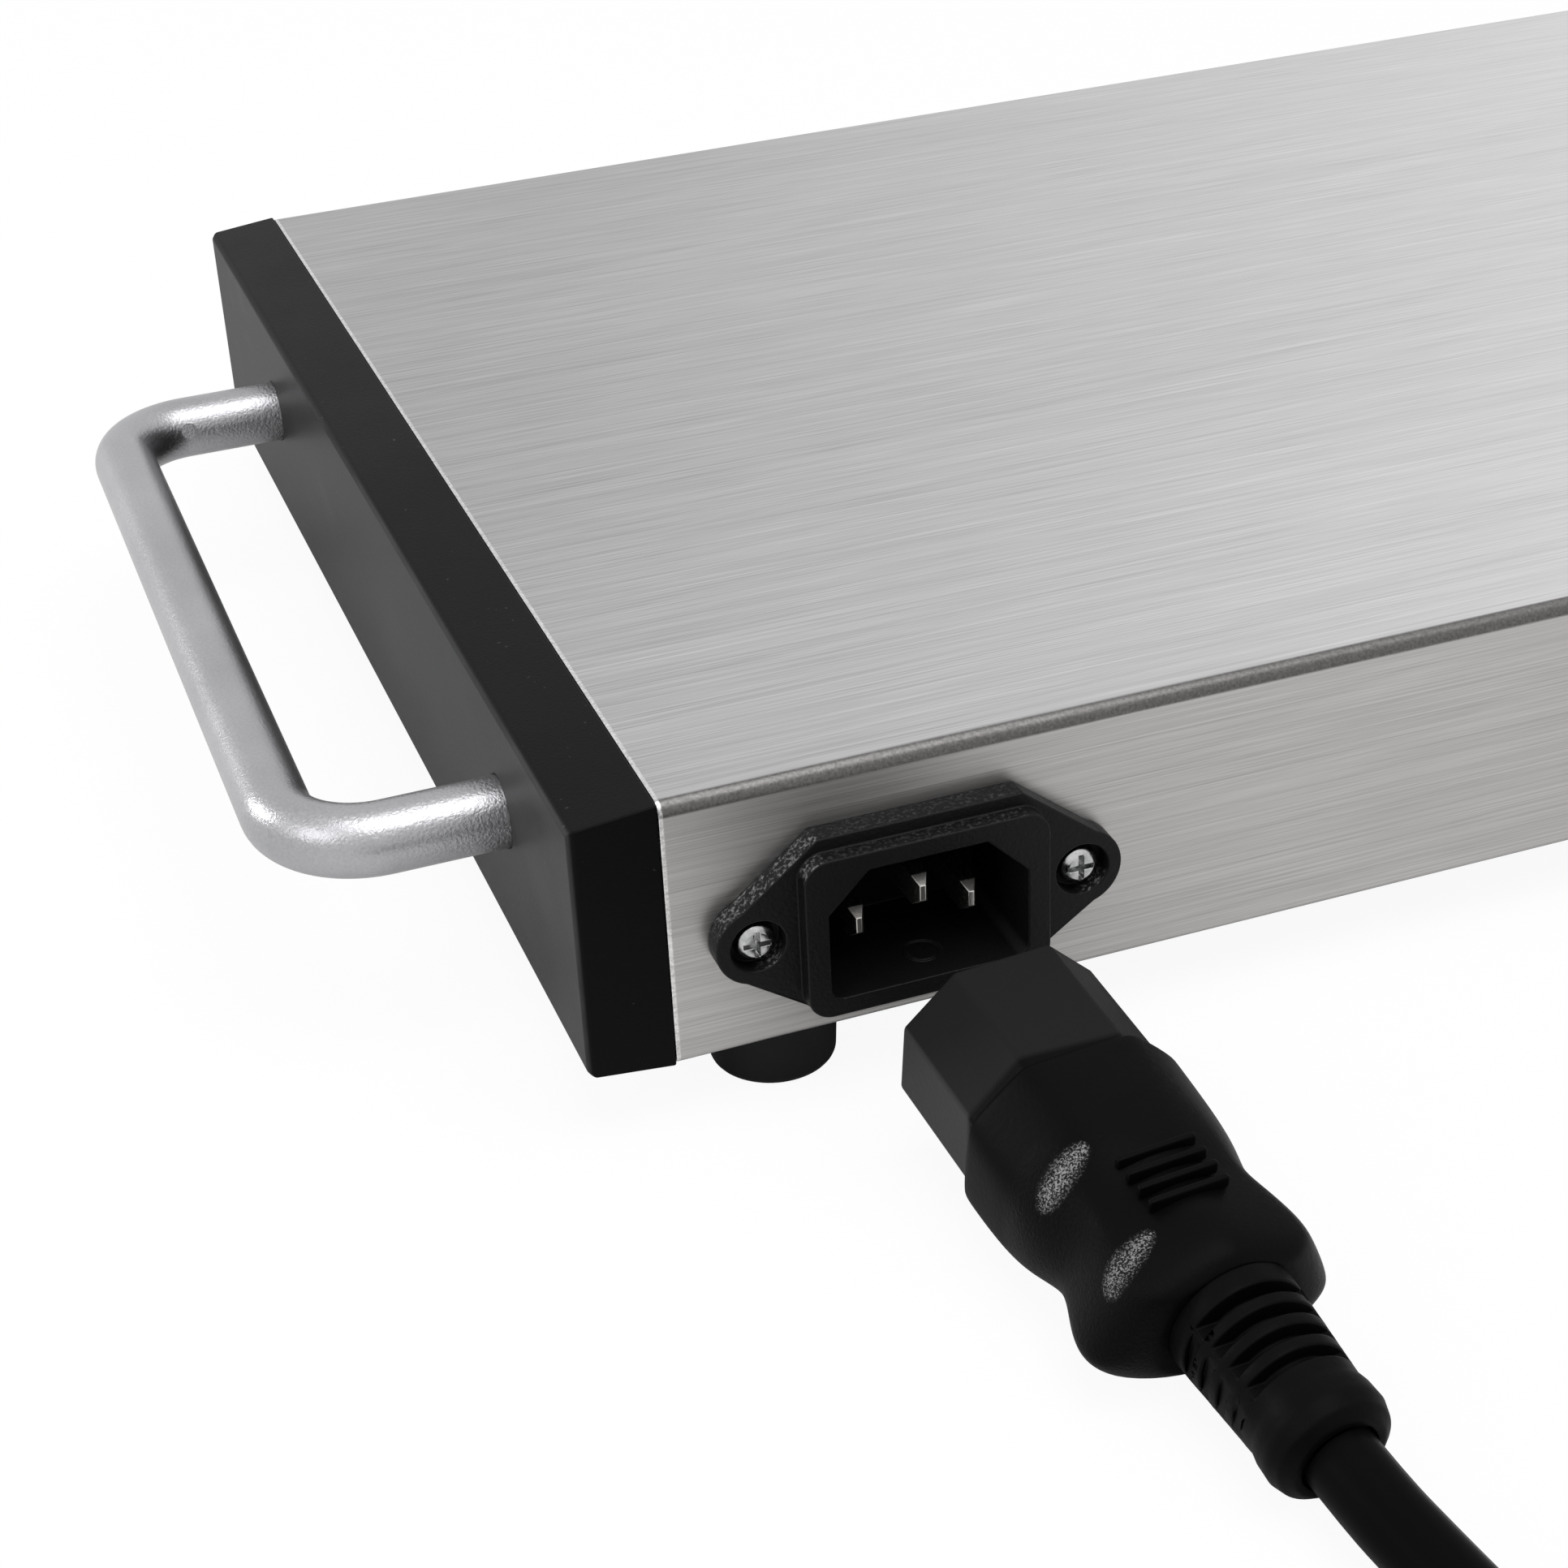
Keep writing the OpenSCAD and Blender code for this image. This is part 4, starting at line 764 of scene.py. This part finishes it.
def makeGrip(setup):  # a coarse cage through the sections, which is then subdivided
    bm = bmesh.new()
    rings = []
    for share, *shape in setup["sections"]:
        along = setup["noseLength"] + share * setup["gripLength"]
        ring = [bm.verts.new((p.x, along, p.y)) for p in gripCorners(*shape)]
        rings.append([bm.edges.new(pair) for pair in zip(ring, ring[1:] + ring[:1])])
    for near, far in zip(rings, rings[1:]):
        bmesh.ops.bridge_loops(bm, edges=near + far)
    for ring in (rings[0], rings[-1]):
        face = bmesh.ops.edgeloop_fill(bm, edges=ring)["faces"]
        bmesh.ops.inset_region(bm, faces=face, thickness=setup["endInset"], use_even_offset=True)
    for i in range(setup["ribs"]):
        share = setup["ribFrom"] + setup["ribStep"] * i
        addRib(bm, setup, setup["noseLength"] + setup["gripLength"] * share)
    bmesh.ops.transform(bm, matrix=connectorFrame(setup), verts=bm.verts)
    bmesh.ops.recalc_face_normals(bm, faces=bm.faces)
    grip = addPiece("connectorGrip", bm, "connector_grip", sharpFrom=180)
    grip.modifiers.clear()
    fuller = grip.modifiers.new("fuller", "SUBSURF")
    fuller.levels = fuller.render_levels = setup["levels"]


makeGrip(connectorSetup)


reliefSetup = {"edge": 0.25, "segments": 3, "rim": 0.95, "recess": 1.4}


def makeRelief(setup):  # the node's own form, with a recess round the cord in its end
    bm = copyOf("strain_relief")
    axis = connectorFrame(connectorSetup).to_3x3().normalized() @ Vector((0, 1, 0))
    end = max((f for f in bm.faces if f.normal.dot(axis) > 0.99),
              key=lambda f: f.calc_center_median().dot(axis))
    bmesh.ops.inset_region(bm, faces=[end], thickness=setup["rim"] * mm, use_even_offset=True)
    made = bmesh.ops.extrude_face_region(bm, geom=[end])["geom"]
    movedOn(bm, made, axis * -setup["recess"] * mm)
    bmesh.ops.delete(bm, geom=[end], context="FACES_ONLY")
    softenEdges(bm, setup["edge"], setup["segments"])
    addPiece("strainRelief", bm, "strain_relief")


makeRelief(reliefSetup)
print("connector made")


# pale paper that keeps a soft shadow, in a white room; in metres
stageSetup = {
    "half": 3.0, "drop": 0.0001, "paper": (0.9, 0.9, 0.9), "rough": 0.9, "glow": 1.0,
    "seenShare": 0.93,  # how much of the paper the camera sees as plain white
    "fill": 0.5,  # what the room gives as light, beside the white that is seen
}


def makeFloor(setup):
    bm = bmesh.new()
    bmesh.ops.create_grid(bm, x_segments=1, y_segments=1, size=setup["half"])
    mesh = bpy.data.meshes.new("floor")
    bm.to_mesh(mesh)
    bm.free()
    floor = bpy.data.objects.new("floor", mesh)
    bpy.context.scene.collection.objects.link(floor)
    floor.location.z = -setup["drop"]
    f = Finish("paper", Roughness=setup["rough"])
    f.feed("Base Color", setup["paper"])
    glow = f.add("Emission", (), {"Strength": setup["glow"]})
    seen = f.add("LightPath", out="Is Camera Ray")
    blend = f.add("MixShader", (), {0: seen * setup["seenShare"],
                                    1: Value(f, f.shader.outputs[0]), 2: glow})
    f.link(f.tree.nodes["Material Output"].inputs[0], blend)
    mesh.materials.append(f.material)


def makeRoom(setup):
    world = bpy.data.worlds.new("studio")
    bpy.context.scene.world = world
    world.use_nodes = True
    room = Nodes(world.node_tree)
    back = room.tree.nodes["Background"]
    seen = (room.add("LightPath", out="Is Camera Ray")
            + room.add("LightPath", out="Is Glossy Ray")).clamped()
    room.link(back.inputs["Strength"], seen * (1 - setup["fill"]) + setup["fill"])
    room.link(back.inputs["Color"], (1, 1, 1))


lampSetup = {
    "overhead": {"place": (0.05, 0.4, 1.2), "aim": (0.15, 0.05, 0), "size": 0.9, "power": 9},
    "side": {"place": (1.2, 0.5, 0.9), "aim": (0.1, 0.05, 0), "size": 0.7, "power": 4},
    "glint": {"place": (1.25, -0.75, 0.55), "aim": (0.17, 0.12, 0), "size": 0.3, "power": 5},
}


def makeLamp(name, setup):
    data = bpy.data.lights.new(name, "AREA")
    data.size = setup["size"]
    data.energy = setup["power"]
    lamp = bpy.data.objects.new(name, data)
    lamp.location = setup["place"]
    aim = Vector(setup["aim"]) - Vector(setup["place"])
    lamp.rotation_euler = aim.to_track_quat("-Z", "Y").to_euler()
    bpy.context.scene.collection.objects.link(lamp)


makeFloor(stageSetup)
makeRoom(stageSetup)
for name, setup in lampSetup.items():
    makeLamp(name, setup)
print("stage made")
